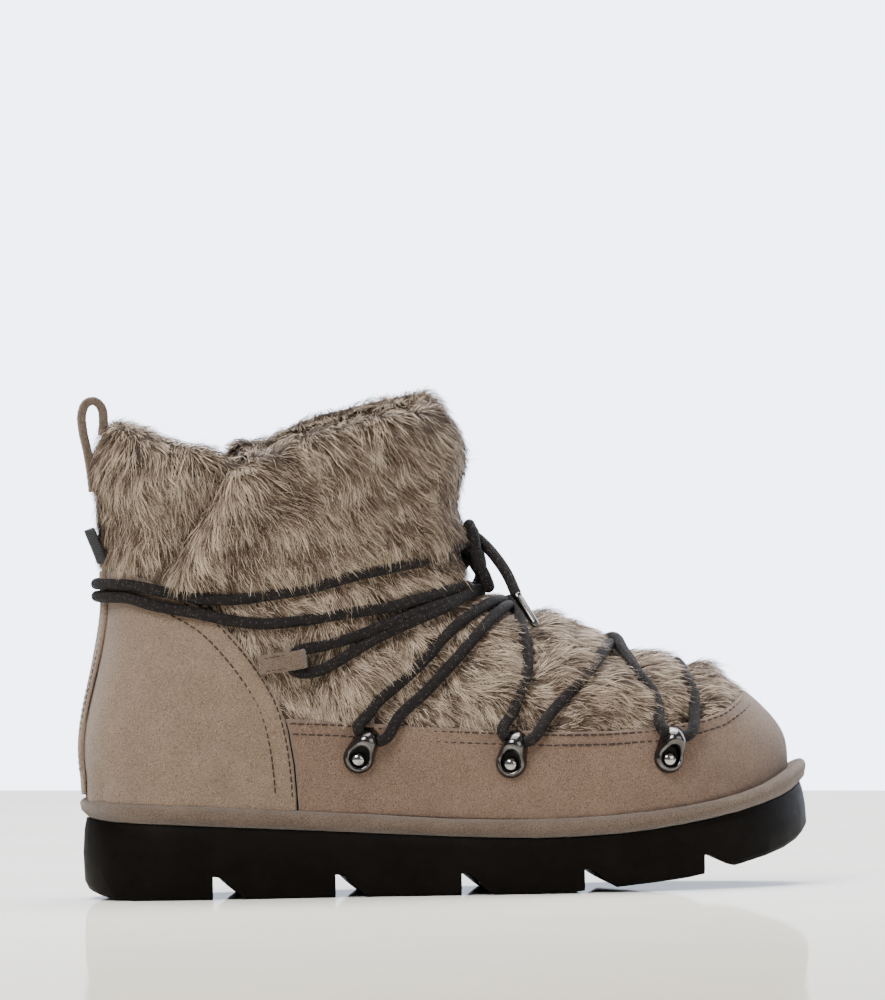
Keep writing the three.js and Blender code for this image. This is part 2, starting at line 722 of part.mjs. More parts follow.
const ANKLE_UP = [
  ['side', -31.2, 69.4, 2.6], ['side', -27.2, 74.6, 0], ['side', -19.6, 80.4, 0],
  ['side', -6.9, 91.4, 0], ['side', 4.6, 103.6, 0],
];
const KEEPER_RUN = [
  ['side', -6.5, 109, 0.6], ['side', -25.5, 101, 0], ['side', -37.8, 94.4, 0],
  ['side', -50, 87, 1], ['side', -59, 86.4, 2.6], ['side', -61.8, 92.8, 3.1],
  ['side', -61, 99.4, 2.9], ['side', -57.4, 103.2, 2], ['side', -46, 101.8, 0.4],
  ['side', -37.7, 102.2, 0],
  ['side', -28.6, 104.2, 0], ['side', -19.1, 107, 0], ['side', -5.4, 112.6, 0.4],
];
const LOW_RING = [
  ['side', -2, 117.4, 0], ['side', -19, 113.6, 0], ['side', -37.5, 111.6, 0],
  ['side', -56.4, 109.4, 0], ['side', -70.9, 107.8, 0], ['side', -84, 109, OVER_PANEL],
  ['side', -96, 112, OVER_PANEL], ['side', -112, 115.6, OVER_PANEL],
  ['back', 22, 118.2, OVER_PANEL], ['back', 9, 118.8, OVER_STAY], ['back', 0, 118.9, OVER_STAY],
];
const HIGH_RING = [
  ['side', -3, 131.6, 0], ['side', -18.7, 128.8, 0], ['side', -37.2, 124.9, 0],
  ['side', -49.8, 121.6, 0], ['side', -73, 118.1, 0], ['side', -84, 117.4, OVER_PANEL],
  ['side', -95, 118, OVER_PANEL], ['side', -104, 119.8, OVER_PANEL],
  ['side', -116, 122.6, OVER_PANEL], ['back', 20, 124, OVER_PANEL],
  ['back', 9, 124.2, OVER_STAY], ['back', 0, 124.2, OVER_STAY],
];
const FRONT_LOW = [1, 116.4];
const KNOT_SIDE = 7.4; // how far beside the middle the high wrap reaches the knot
const KNOT_ENTRY = { outer: 137.4, inner: 141 };

function laceAt([view, a, b, lift], side) {
  const sign = side === 'outer' ? -1 : 1;
  const across = { top: [a, sign * b], front: [sign * a, b], back: [sign * a, b] };
  const where = view === 'side' ? side : view;
  const [first, second] = across[view] ?? [a, b];
  return place(where, first, second, LACE_R + GAP + lift).point;
}

function run(route, side) {
  return route.map((point) => ({ at: laceAt(point, side), lift: point[3] }));
}

// The middle lines of the boot: forefoot to shaft, and down into the heel.
const CORES = [
  [[104, 5, 50], [40, 2, 58], [0, 0, 88], [-30, 0, 112], [-60, 0, 135], [-60, 0, 190]],
  [[-60, 0, 135], [-95, 0, 60]],
].flatMap((line) => {
  const points = line.map((p) => new THREE.Vector3(...p));
  return points.slice(1).map((end, i) => new THREE.Line3(points[i], end));
});

// Moves a point of the lace outwards until the cord clears the form by its gap and lift.
function clearOfForm(point, lift) {
  const spots = CORES.map((line) => line.closestPointToPoint(point, true, new THREE.Vector3()));
  const core = spots.reduce((a, b) => (b.distanceTo(point) < a.distanceTo(point) ? b : a));
  const away = point.clone().sub(core).normalize();
  caster.set(core.clone().addScaledVector(away, BIG), away.clone().negate());
  const [hit] = caster.intersectObject(castForm);
  const slant = Math.max(Math.abs(hit.face.normal.dot(away)), 0.5);
  const needed = hit.point.distanceTo(core) + (LACE_R + LACE_CLEAR + lift) / slant;
  return core.addScaledVector(away, Math.max(needed, point.distanceTo(core)));
}

// A tube through the placed points, held off the form all the way.
function laceTube(places, radius = LACE_R) {
  const curve = new THREE.CatmullRomCurve3(places.map(({ at }) => at), false, 'centripetal');
  const count = Math.round(curve.getLength() / LACE_STEP);
  const points = Array.from({ length: count + 1 }, (_, i) => {
    const t = curve.getUtoTmapping(i / count);
    const index = Math.min(places.length - 2, Math.floor(t * (places.length - 1)));
    const part = t * (places.length - 1) - index;
    const lift = places[index].lift * (1 - part) + places[index + 1].lift * part;
    return clearOfForm(curve.getPoint(t), lift);
  });
  return solidOf(tube(points, radius, LACE_SIDES, LACE_STEP / (2 * radius)));
}

const SIDES = ['outer', 'inner'];
const otherSide = { outer: 'inner', inner: 'outer' };

// Joined lengths of lace.
function laid(tubes) {
  const bodies = union(tubes).decompose();
  return bodies.reduce((a, b) => (b.volume() > a.volume() ? b : a));
}

function laceBar() {
  return laid([laceTube([...run(BAR, 'outer'), ...run(BAR.slice(0, -1), 'inner').reverse()])]);
}

function laceCrossing({ from, middle, to }) {
  const centre = run([['top', ...middle, 0.3]], 'inner');
  return laid(SIDES.map((side) => {
    return laceTube([...run(from, side), ...centre, ...run(to, otherSide[side])]);
  }));
}

function laceLow() {
  const front = (rise) => run([['front', FRONT_LOW[0], FRONT_LOW[1] + rise, 0.4]], 'inner');
  return laid(SIDES.flatMap((side) => [
    laceTube([...run(ANKLE_UP, side), ...front(0)]),
    laceTube([...front(0.3), ...run(KEEPER_RUN, side), ...front(0.3)]),
    laceTube([...front(0.9), ...run(LOW_RING, side)]),
  ]));
}

function laceHigh(radius) {
  return laid(SIDES.map((side) => {
    const start = ['front', KNOT_SIDE, KNOT_ENTRY[side], 0];
    return laceTube(run([start, ...HIGH_RING], side), radius);
  }));
}

// ---- knot, bow and ends ----------------------------------------------------------------------
const KNOT = { centre: [12.6, 0, 139.4], radii: [3.6, 6.4, 5.6] };
const AGLET = { radius: 1.8, length: 17 };
// The outer loop hangs in front of the ankle; the inner one lies on the inner side.
const BOW = {
  outer: [
    [14.4, -6, 132.6], [15.2, -6.3, 129.2], [18.2, -6.8, 124.3], [20.8, -9.4, 119.2],
    [19.3, -12.1, 123.5], [16.8, -12, 129], [15.6, -11.9, 134.6], [14.8, -11.2, 140.4],
    [13.3, -7.9, 144.6],
  ],
  inner: [
    [13.2, 6.6, 136.2], [13, 11.6, 133.8], [10.2, 18, 132.4], [5.6, 26, 131.4],
    [0.2, 32, 130.4], [-3.8, 34.8, 127.6], [-1.2, 31.6, 124.8], [3.6, 25.4, 125.4],
    [8.2, 17.4, 126.6], [11.8, 10.9, 127.7], [13.2, 6.4, 130.6],
  ],
};
const ENDS = {
  outer: [
    [17, -3.6, 138.6], [19.6, -5.8, 136.1], [23.7, -9.8, 131], [27.6, -13.8, 124.6],
    [30.6, -18, 117],
  ],
  inner: [
    [17.2, 4.1, 134.3], [18.8, 8, 129.9], [19.2, 13.9, 123.9], [17, 21, 117.8],
    [12.8, 29.6, 111.7],
  ],
};
const TIPS = { outer: [37.6, -28.6, 104.4], inner: [9.4, 40.6, 99] };

function vectors(points) {
  return points.map((p) => new THREE.Vector3(...p));
}

function knot() {
  const ball = new THREE.SphereGeometry(1, 10, 7).scale(...KNOT.radii).translate(...KNOT.centre);
  return solidOf(ball).subtract(laceHigh(LACE_R + GAP)).subtract(outerForm(GAP));
}

function bow(side) {
  return solidOf(tube(vectors(BOW[side]), LACE_R, 8, 1.6));
}

function laceEnd(side) {
  return solidOf(tube(vectors(ENDS[side]), LACE_R, 8, 1.6));
}

function aglet(side) {
  const from = new THREE.Vector3(...ENDS[side].at(-1));
  const way = new THREE.Vector3(...TIPS[side]).sub(from).normalize();
  const start = from.clone().addScaledVector(way, GAP + 0.6);
  const ends = [start, start.clone().addScaledVector(way, AGLET.length)];
  return solidOf(tube(ends, AGLET.radius, 8, 3));
}

const boot = new THREE.Group();
boot.add(
  meshOf('outsole', outsole(), COLOR.rubber, 0.75),
  meshOf('midsole_wrap', midsoleWrap(), COLOR.suede, 0.95),
  meshOf('upper', upper(), COLOR.fur, 0.95),
  meshOf('insole', insole(), COLOR.fleece, 0.95),
  meshOf('heel_counter', heelCounter(), COLOR.suede, 0.95),
  meshOf('mudguard', mudguard(), COLOR.guard, 0.95),
  meshOf('back_stay', backStay(), COLOR.suede, 0.95),
  meshOf('pull_loop', pullLoop(), COLOR.suede, 0.95),
  meshOf('label_tab', labelTab(), COLOR.label, 0.9),
  ...SIDES.map((side) => meshOf(`keeper_${side}`, keeper(side), COLOR.suede, 0.95)),
  ...eyelets(),
  meshOf('lace_bar', laceBar(), COLOR.lace, 0.85),
  meshOf('lace_cross_low', laceCrossing(CROSS_LOW), COLOR.lace, 0.85),
  meshOf('lace_cross_high', laceCrossing(CROSS_HIGH), COLOR.lace, 0.85),
  meshOf('lace_wrap_low', laceLow(), COLOR.lace, 0.85),
  meshOf('lace_wrap_high', laceHigh(LACE_R), COLOR.lace, 0.85),
  meshOf('lace_knot', knot(), COLOR.lace, 0.85),
  ...SIDES.map((side) => meshOf(`lace_bow_${side}`, bow(side), COLOR.lace, 0.85)),
  ...SIDES.map((side) => meshOf(`lace_end_${side}`, laceEnd(side), COLOR.lace, 0.85)),
  ...SIDES.map((side) => meshOf(`aglet_${side}`, aglet(side), COLOR.steel, 0.35, 1)),
);

export default boot;
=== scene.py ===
"""Sheepskin lace-up ankle boot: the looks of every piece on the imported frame.

Sizes are in millimetres here and become metres when a mesh is made.
"""

import math

import bmesh
import bpy
import numpy as np
from mathutils import Matrix, Vector
from mathutils.bvhtree import BVHTree
from mathutils.kdtree import KDTree


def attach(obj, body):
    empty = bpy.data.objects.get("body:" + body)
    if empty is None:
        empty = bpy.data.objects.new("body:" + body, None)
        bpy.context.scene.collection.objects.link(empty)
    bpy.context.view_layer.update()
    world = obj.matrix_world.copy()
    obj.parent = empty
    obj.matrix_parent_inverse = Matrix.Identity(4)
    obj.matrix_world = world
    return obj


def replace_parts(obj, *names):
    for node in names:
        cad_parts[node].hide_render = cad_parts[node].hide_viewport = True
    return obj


bl_info = {
    "name": "Sheepskin Boot",
    "version": (1, 0, 0),
    "blender": (4, 5, 0),
    "location": "3D View > Sidebar > Boot",
    "description": "Builds a furry sheepskin boot with its laces, suede panels and platform sole",
    "category": "Mesh",
}

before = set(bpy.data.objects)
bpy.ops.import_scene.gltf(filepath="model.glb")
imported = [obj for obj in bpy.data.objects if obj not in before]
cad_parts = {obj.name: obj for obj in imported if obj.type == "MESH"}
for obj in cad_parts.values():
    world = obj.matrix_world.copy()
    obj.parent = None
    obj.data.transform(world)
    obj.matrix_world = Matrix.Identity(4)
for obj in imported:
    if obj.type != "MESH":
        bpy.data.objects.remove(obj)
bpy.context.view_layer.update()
MM = 0.001
SIDES = ("outer", "inner")
SIGN = {"outer": -1, "inner": 1}

# ---- driving sizes, millimetres -----------------------------------------------------
LACE_R = 2.3
BRAID_R = LACE_R * 0.98  # the visible braid, a hair thinner than its solid
PANEL = 2.0  # thickness of a suede panel
STAY = 1.4  # thickness of the back stay
GAP = 0.3
OVER_PANEL = 2.3
OVER_STAY = 3.8
SINK = 1.0  # how far a lace presses into the wool
COUNTER_TOP = 129.2
BACK_LOW = 49  # lowest height at which the back of the form is met
WRAP_LAP = 0.6  # how far a panel runs down behind the wrap

# Side view outlines: the counter's front edge, the mudguard's top edge, the wrap's top.
COUNTER_EDGE = [
    (-160, 129.6), (-125.4, 129.3), (-118, 127), (-104, 120.4), (-89.6, 111.4), (-79.8, 101),
    (-72, 90.4), (-65, 77.9), (-61.4, 66), (-59.2, 52), (-58, 36), (-57.6, 18),
]
GUARD_EDGE = [
    (-75, 71), (-43, 69.2), (-13.6, 66.3), (15.8, 64.5), (41.6, 63), (64.4, 62.8),
    (83.2, 63.4), (98.6, 65.6), (109.6, 68.6), (117, 73.4), (124, 79), (150, 90),
]
WRAP_TOP = [
    (-142, 41.8), (-137.5, 39.6), (-132, 38.4), (-124, 37.8), (-100, 36.8), (-72, 35),
    (-32, 32.5), (8, 29.8), (36, 29.3), (62, 30.1), (80, 31.4), (97, 33.4), (114, 36.6),
    (125, 40.2), (134, 44.8), (144, 51),
]
# The soft ridge that runs from the notch of the collar down to the heel, side view.
FOLD = [(-79.9, 166.1), (-88.5, 150.6), (-95, 140.1), (-105.9, 122.7)]

EYELETS = {1: (-33.8, 54.4, 26), 2: (25.8, 51.4, 14), 3: (86.4, 51.8, 14)}  # x, z, lean in degrees
KEEPER = {"x": -63.2, "z": 92.8, "lean": -8}
# The keeper's strap seen from its edge: along it, out of the panel.
KEEPER_FOLD = [
    (-9, 1.6), (-4, 1.3), (2, 1.2), (6.8, 2.2), (8.8, 5.2), (7.4, 8), (3.4, 8.8), (-2, 7.2), (-9, 3.4),
]

# ---- routes of the lace: view, two coordinates in that view, lift ----------------------
BAR = [("side", 98.4, 72, 0), ("side", 98.6, 77, 0), ("top", 97, 24, 0), ("top", 95, 0, 0)]
CROSS_LOW = {
    "from": [("side", 83.6, 71, 1), ("side", 81.4, 78, 0), ("top", 77, 27, 0), ("top", 72.4, 11, 0.6)],
    "middle": (69.3, 2),
    "to": [("top", 65.4, 14, 0.6), ("side", 56.5, 84.2, 0), ("side", 47.8, 76.2, 0), ("side", 40, 67.6, 2)],
}
CROSS_HIGH = {
    "from": [
        ("side", 27.2, 70.5, 1), ("side", 28.9, 76, -0.4), ("side", 33.4, 87, -1.6), ("top", 32.6, 15, -1.2),
    ],
    "middle": (29.6, 1),
    "to": [("top", 24.6, 13, 0.6), ("side", 5.7, 91.9, 0), ("side", -7.1, 79.2, 0), ("side", -18.4, 69.4, 2)],
}
ANKLE_UP = [
    ("side", -29.6, 70.6, 1), ("side", -26.6, 75.6, 0), ("side", -19.6, 81, 0),
    ("side", -6.9, 91.8, 0), ("side", 3.6, 102.6, 0), ("front", 4, 111.5, 1.4),
]
KEEPER_LOW = [
    ("side", -59.6, 89, 2.4), ("side", -50, 88.4, 1.4), ("side", -37.8, 94.4, 0.4),
    ("side", -25.5, 101.2, 0), ("side", -8, 108.4, 0.8), ("front", 5, 114.6, 2.6),
]
KEEPER_HIGH = [
    ("side", -58.2, 96.4, 1.6), ("side", -46, 98.6, -0.4), ("side", -37.7, 100.8, -0.6),
    ("side", -28.6, 103.6, -0.2), ("side", -16, 108.4, 0.4), ("front", 8, 116.8, 1),
]
LOW_RING = [
    ("front", 3, 119.4, 0.8), ("side", -2, 117.2, 0.4), ("side", -19, 113.2, 0),
    ("side", -37.5, 111, -0.4), ("side", -56.4, 108.4, -0.4), ("side", -70.9, 107.6, 0.2),
    ("side", -84, 109.4, 1.8), ("side", -96, 112.4, OVER_PANEL), ("side", -112, 115.8, OVER_PANEL),
    ("back", 22, 118.2, OVER_PANEL), ("back", 9, 118.8, OVER_STAY), ("back", 0, 118.9, OVER_STAY),
]
HIGH_RING = [
    ("side", -3, 131.6, 0), ("side", -18.7, 128.6, 0), ("side", -37.2, 125, 0),
    ("side", -49.8, 121.6, 0), ("side", -73, 118.1, -0.6), ("side", -84, 117.2, 0.8),
    ("side", -95, 118, 1.8), ("side", -104, 120.2, OVER_PANEL), ("side", -116, 123, OVER_PANEL),
    ("back", 20, 123.8, OVER_PANEL), ("back", 9, 124, OVER_STAY), ("back", 0, 124, OVER_STAY),
]
KNOT_ENTRY = {"outer": 137.4, "inner": 141}
KNOT = (12.6, 0, 139.4)
BOW = {
    "outer": [
        (14.4, -6, 132.6), (15.2, -6.3, 129.2), (18.2, -6.8, 124.3), (20.8, -9.4, 119.2),
        (19.3, -12.1, 123.5), (16.8, -12, 129), (15.6, -11.9, 134.6), (14.8, -11.2, 140.4),
        (13.3, -7.9, 144.6),
    ],
    "inner": [
        (13.2, 6.6, 136.2), (13, 11.6, 133.8), (10.2, 18, 132.4), (5.6, 26, 131.4),
        (0.2, 32, 130.4), (-3.8, 34.8, 127.6), (-1.2, 31.6, 124.8), (3.6, 25.4, 125.4),
        (8.2, 17.4, 126.6), (11.8, 10.9, 127.7), (13.2, 6.4, 130.6),
    ],
}
ENDS = {
    "outer": [
        (14.6, -1.6, 140.2), (17, -3.6, 138.6), (19.6, -5.8, 136.1),
        (23.7, -9.8, 131), (27.6, -13.8, 124.6), (30.6, -18, 117),
    ],
    "inner": [
        (15, 1.4, 136.4), (17.2, 4.1, 134.3), (18.8, 8, 129.9),
        (19.2, 13.9, 123.9), (17, 21, 117.8), (12.8, 29.6, 111.7),
    ],
}
TIPS = {"outer": (37.6, -28.6, 104.4), "inner": (9.4, 40.6, 99)}
AGLET_LENGTH = 17

# ---- stage, metres ------------------------------------------------------------------------
FRAME_SHAPE = 0.885  # the frame's width over its height
HORIZON = 0.2905  # share of the frame's height from its middle down to the floor's far edge
WALL_AWAY, WALL_LOW, WALL_HIGH = 8.8, -5.0, 9.0
FLOOR_DEEP = 9.5


# ---- shader maths ---------------------------------------------------------------------
class Value:
    """A node's output that plain expressions can add to, multiply and blend."""

    def __init__(self, shader, socket):
        self.shader = shader
        self.socket = socket

    def maths(self, operation, *values):
        return self.shader.node("ShaderNodeMath", {"operation": operation}, dict(enumerate(values)))

    def __add__(self, other):
        return self.maths("ADD", self, other)

    __radd__ = __add__

    def __mul__(self, other):
        return self.maths("MULTIPLY", self, other)

    __rmul__ = __mul__

    def __sub__(self, other):
        return self.maths("SUBTRACT", self, other)

    def __rsub__(self, other):
        return self.maths("SUBTRACT", other, self)

    def wave(self):
        """Absolute sine: a row of rounded bumps."""
        return self.maths("ABSOLUTE", self.maths("SINE", self * math.pi))

    def floor(self):
        return self.maths("FLOOR", self)

    def over(self, low, high):
        """0 below low, 1 above high, smooth between."""
        settings = {"interpolation_type": "SMOOTHSTEP"}
        sockets = {"Value": self, "From Min": low, "From Max": high}
        return self.shader.node("ShaderNodeMapRange", settings, sockets)


class Shader:
    """One material and its nodes."""

    def __init__(self, name):
        self.material = bpy.data.materials.new(name)
        self.material.use_nodes = True
        self.tree = self.material.node_tree
        self.tree.nodes.clear()
        self.output = self.tree.nodes.new("ShaderNodeOutputMaterial")

    def node(self, kind, settings=None, sockets=None, out=0):
        node = self.tree.nodes.new(kind)
        for key, value in (settings or {}).items():
            if key == "stops":
                ramp = node.color_ramp
                while len(ramp.elements) < len(value):
                    ramp.elements.new(0.5)
                for element, (at, colour) in zip(ramp.elements, value):
                    element.position = at
                    element.color = (*colour, 1)
            else:
                setattr(node, key, value)
        for key, value in (sockets or {}).items():
            if isinstance(value, Value):
                self.tree.links.new(value.socket, node.inputs[key])
            else:
                node.inputs[key].default_value = value
        return Value(self, node.outputs[out])

    def blend(self, factor, low, high):
        """Mix of two colours, each a tuple or another node's output."""
        low = (*low, 1) if isinstance(low, tuple) else low
        high = (*high, 1) if isinstance(high, tuple) else high
        return self.node("ShaderNodeMix", {"data_type": "RGBA"}, {0: factor, 6: low, 7: high}, 2)

    def axis(self, vector, number):
        """One of the three numbers of a vector."""
        return self.node("ShaderNodeSeparateXYZ", None, {"Vector": vector}, number)

    def place(self):
        return self.node("ShaderNodeTexCoord", out="Object")

    def noise(self, where, scale, detail=3.0, roughness=0.55):
        return self.node("ShaderNodeTexNoise", None,
                         {"Vector": where, "Scale": scale, "Detail": detail, "Roughness": roughness})

    def bump(self, height, strength, distance):
        return self.node("ShaderNodeBump", None,
                         {"Height": height, "Strength": strength, "Distance": distance})

    def finish(self, sockets):
        surface = self.node("ShaderNodeBsdfPrincipled", None, sockets)
        self.tree.links.new(surface.socket, self.output.inputs["Surface"])
        return self.material


def scaled(colour, share):
    return tuple(c * share for c in colour)


def suede(name, base, dark, light):
    """Napped leather: soft clouds, fine grain and a brushed sheen."""
    s = Shader(name)
    at = s.place()
    cloud = s.noise(at, 28, 4).over(0.35, 0.68)
    patch = s.noise(at, 85, 3).over(0.38, 0.66)
    grain = s.noise(at, 2500, 2, 0.75)
    colour = s.blend(cloud * 0.6 + 0.4, dark, base)
    colour = s.blend(patch * 0.25, colour, light)
    colour = s.blend(grain.over(0.5, 0.6) * 0.85, colour, scaled(base, 1.75))
    pores = s.noise(at, 2000, 2, 0.75).over(0.52, 0.6)
    colour = s.blend(pores * 0.8, colour, scaled(base, 0.42))
    height = grain + s.noise(at, 420, 3) * 0.6
    return s.finish({
        "Base Color": colour, "Roughness": 0.95, "Specular IOR Level": 0.15,
        "Sheen Weight": 0.25, "Sheen Roughness": 0.6,
        "Normal": s.bump(height, 0.8, 0.0005),
    })


def wool(name, root, middle, tip, warm):
    """Hair coloured along its length by the strand attribute; its clump channel also carries painted light
    and shade.
    """
    s = Shader(name)
    strand = s.node("ShaderNodeVertexColor", {"layer_name": "strand"})
    split = s.node("ShaderNodeSeparateColor", None, {"Color": strand})
    node = split.socket.node
    # Along, own tone, and clump tone with the painted light and shade of the fold and rim.
    along, tone, clump = (Value(s, node.outputs[i]) for i in range(3))
    colour = s.node("ShaderNodeValToRGB", {"stops": [(0.0, root), (0.5, middle), (1.0, tip)]},
                    {"Fac": along * 0.8 + clump * 0.5 - 0.2})
    shade = s.blend(tone.over(0.0, 0.34), scaled(middle, 0.42), colour)
    shade = s.blend(tone.over(0.68, 1.0) * 0.62, shade, scaled(tip, 1.25))
    shade = s.blend(clump.over(0.5, 1.0) * 0.25, shade, warm)
    return s.finish({"Base Color": shade, "Roughness": 0.6, "Specular IOR Level": 0.2})


def skin_leather(name, colour):
    """The hide under the wool and the fleece of the insole."""
    s = Shader(name)
    at = s.place()
    mottle = s.noise(at, 160, 3).over(0.35, 0.65)
    tint = s.blend(mottle, scaled(colour, 0.6), colour)
    pores = s.bump(s.noise(at, 900, 3), 0.8, 0.0005)
    return s.finish({"Base Color": tint, "Roughness": 0.9, "Normal": pores})


def braid(name, base, fleck):
    """Round braided cord: diamond cells along the piece's own UV map, with painted shade in the grooves
    between them.
    """
    s = Shader(name)
    uv = s.node("ShaderNodeUVMap", {"uv_map": "cord"})
    around, along = s.axis(uv, 0), s.axis(uv, 1)
    one = around * 10 + along * 860
    two = around * 10 - along * 860
    cell = s.node("ShaderNodeCombineXYZ", None, {"X": one.floor(), "Y": two.floor()})
    chance = s.node("ShaderNodeTexWhiteNoise", {"noise_dimensions": "3D"}, {"Vector": cell})
    height = one.wave() * two.wave()
    # Darker in the grooves between the cells: painted shade.
    colour = s.blend(height.over(0.05, 0.75), scaled(base, 0.35), base)
    colour = s.blend(chance.over(0.7, 1.0) * height * 0.55, colour, fleck)
    fuzz = s.noise(s.place(), 1500, 2)
    return s.finish({
        "Base Color": colour, "Roughness": 0.8, "Specular IOR Level": 0.25,
        "Normal": s.bump(height + fuzz * 0.5, 0.9, 0.0004),
    })


def rubber(name):
    """Near-black moulded rubber."""
    s = Shader(name)
    at = s.place()
    mottle = s.noise(at, 70, 4).over(0.35, 0.7)
    colour = s.blend(mottle, (0.002, 0.0012, 0.0007), (0.0035, 0.0023, 0.0015))
    return s.finish({
        "Base Color": colour, "Roughness": s.noise(at, 240, 3) * 0.2 + 0.5,
        "Specular IOR Level": 0.06, "Normal": s.bump(s.noise(at, 1400, 3), 0.25, 0.0002),
    })


def metal(name, colour, rough):
    """Polished metal with faint handling marks."""
    s = Shader(name)
    at = s.place()
    tint = s.blend(s.noise(at, 400, 2).over(0.4, 0.6), scaled(colour, 0.8), colour)
    return s.finish({"Base Color": tint, "Metallic": 1.0, "Roughness": s.noise(at, 700, 3) * 0.12 + rough})


def woven(name, base):
    """Plain weave of a narrow tape that stands across the boot, with painted shade between the threads."""
    s = Shader(name)
    at = s.place()
    weave = (s.axis(at, 1) * 1500).wave() * (s.axis(at, 2) * 1500).wave()
    # Darker between the threads: painted shade.
    colour = s.blend(weave, scaled(base, 0.45), base)
    return s.finish({"Base Color": colour, "Roughness": 0.9, "Specular IOR Level": 0.1,
                     "Normal": s.bump(weave, 0.7, 0.0003)})


def plain(name, colour, roughness):
    """One colour with a slight mottle."""
    s = Shader(name)
    mottle = s.noise(s.place(), 900, 2).over(0.35, 0.65)
    tint = s.blend(mottle, scaled(colour, 0.7), colour)
    return s.finish({"Base Color": tint, "Roughness": roughness})


# ---- meshes ----------------------------------------------------------------------------
def linked(name, data):
    """A new object in the scene, at the origin."""
    made = bpy.data.objects.new(name, data)
    bpy.context.scene.collection.objects.link(made)
    return made


def put(name, mesh, material, smooth=True):
    """Links a finished mesh as a piece of the boot."""
    piece = linked(name, mesh)
    mesh.materials.clear()
    mesh.materials.append(material)
    if smooth:
        mesh.polygons.foreach_set("use_smooth", [True] * len(mesh.polygons))
    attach(piece, "root")
    return piece


def mesh_of(name, points, faces):
    """Mesh from points in millimetres and equal-sided faces."""
    points = np.asarray(points, float) * MM
    faces = np.asarray(faces, int)
    corners = faces.shape[1]
    mesh = bpy.data.meshes.new(name)
    mesh.vertices.add(len(points))
    mesh.vertices.foreach_set("co", points.astype(np.float32).ravel())
    mesh.loops.add(faces.size)
    mesh.loops.foreach_set("vertex_index", faces.ravel().astype(np.int32))
    mesh.polygons.add(len(faces))
    mesh.polygons.foreach_set("loop_start", np.arange(0, faces.size, corners, dtype=np.int32))
    mesh.update(calc_edges=True)
    mesh.validate()
    return mesh


def joined(name, parts):
    """One mesh from several (points, faces) pairs with the same face size."""
    points, faces, start = [], [], 0
    for own_points, own_faces in parts:
        points.append(np.asarray(own_points, float))
        faces.append(np.asarray(own_faces, int) + start)
        start += len(own_points)
    return mesh_of(name, np.concatenate(points), np.concatenate(faces))


def grid_faces(rows, columns, turn=False):
    """Quads of a rows by columns grid of points."""
    i, j = np.meshgrid(np.arange(rows - 1), np.arange(columns - 1), indexing="ij")
    a = (i * columns + j).ravel()
    faces = np.stack([a, a + 1, a + columns + 1, a + columns], 1)
    return faces[:, ::-1] if turn else faces


def slab(name, outer, inner):
    """Closed panel between two equal grids of points."""
    rows, columns = outer.shape[:2]
    count = rows * columns
    points = np.concatenate([outer.reshape(-1, 3), inner.reshape(-1, 3)])
    faces = [grid_faces(rows, columns), grid_faces(rows, columns, True) + count]
    index = np.arange(count).reshape(rows, columns)
    rim = np.concatenate([index[0, :], index[1:, -1], index[-1, -2::-1], index[-2:0:-1, 0]])
    ahead = np.roll(rim, -1)
    faces.append(np.stack([rim, rim + count, ahead + count, ahead], 1))
    mesh = mesh_of(name, points, np.concatenate(faces))
    return outward(mesh)


def outward(mesh):
    """The same mesh with its faces turned out."""
    work = bmesh.new()
    work.from_mesh(mesh)
    bmesh.ops.recalc_face_normals(work, faces=work.faces)
    work.to_mesh(mesh)
    work.free()
    return mesh


def smooth_line(points, step):
    """Centripetal Catmull-Rom curve through points, as evenly spaced points."""
    p = np.asarray(points, float)
    p = np.vstack([2 * p[0] - p[1], p, 2 * p[-1] - p[-2]])
    out = []
    for i in range(1, len(p) - 2):
        a, b, c, d = p[i - 1:i + 3]
        t0 = 0.0
        t1 = t0 + max(np.linalg.norm(b - a), 1e-6) ** 0.5
        t2 = t1 + max(np.linalg.norm(c - b), 1e-6) ** 0.5
        t3 = t2 + max(np.linalg.norm(d - c), 1e-6) ** 0.5
        count = max(3, int(np.linalg.norm(c - b) / (step * 0.4)))
        for t in np.linspace(t1, t2, count, endpoint=False):
            ab = (t1 - t) / (t1 - t0) * a + (t - t0) / (t1 - t0) * b
            bc = (t2 - t) / (t2 - t1) * b + (t - t1) / (t2 - t1) * c
            cd = (t3 - t) / (t3 - t2) * c + (t - t2) / (t3 - t2) * d
            abc = (t2 - t) / (t2 - t0) * ab + (t - t0) / (t2 - t0) * bc
            bcd = (t3 - t) / (t3 - t1) * bc + (t - t1) / (t3 - t1) * cd
            out.append((t2 - t) / (t2 - t1) * abc + (t - t1) / (t2 - t1) * bcd)
    out.append(p[-2])
    return evened(np.array(out), step)


def unit(vectors):
    """The same directions with length 1."""
    return vectors / np.linalg.norm(vectors, axis=-1, keepdims=True)


def run_along(line):
    """How far each point of a line is from its start, along the line."""
    return np.concatenate([[0], np.cumsum(np.linalg.norm(np.diff(line, axis=0), axis=1))])


def evened(line, step):
    """The same line with evenly spaced points."""
    length = run_along(line)
    count = max(2, int(round(length[-1] / step)) + 1)
    at = np.linspace(0, length[-1], count)
    return np.stack([np.interp(at, length, line[:, k]) for k in range(3)], 1)


def softened(line, passes):
    """The same line with its bends eased and its ends held."""
    line = line.copy()
    for _ in range(passes):
        line[1:-1] = line[1:-1] * 0.5 + (line[:-2] + line[2:]) * 0.25
    return line


def frames(line):
    """Tangent and two side vectors along a line, carried without twist."""
    tangent = unit(np.gradient(line, axis=0))
    side = np.cross(tangent[0], (0.3, 0.2, 1.0))
    sides = []
    for t in tangent:
        side = unit(side - t * np.dot(side, t))
        sides.append(side)
    sides = np.array(sides)
    return tangent, sides, np.cross(tangent, sides)


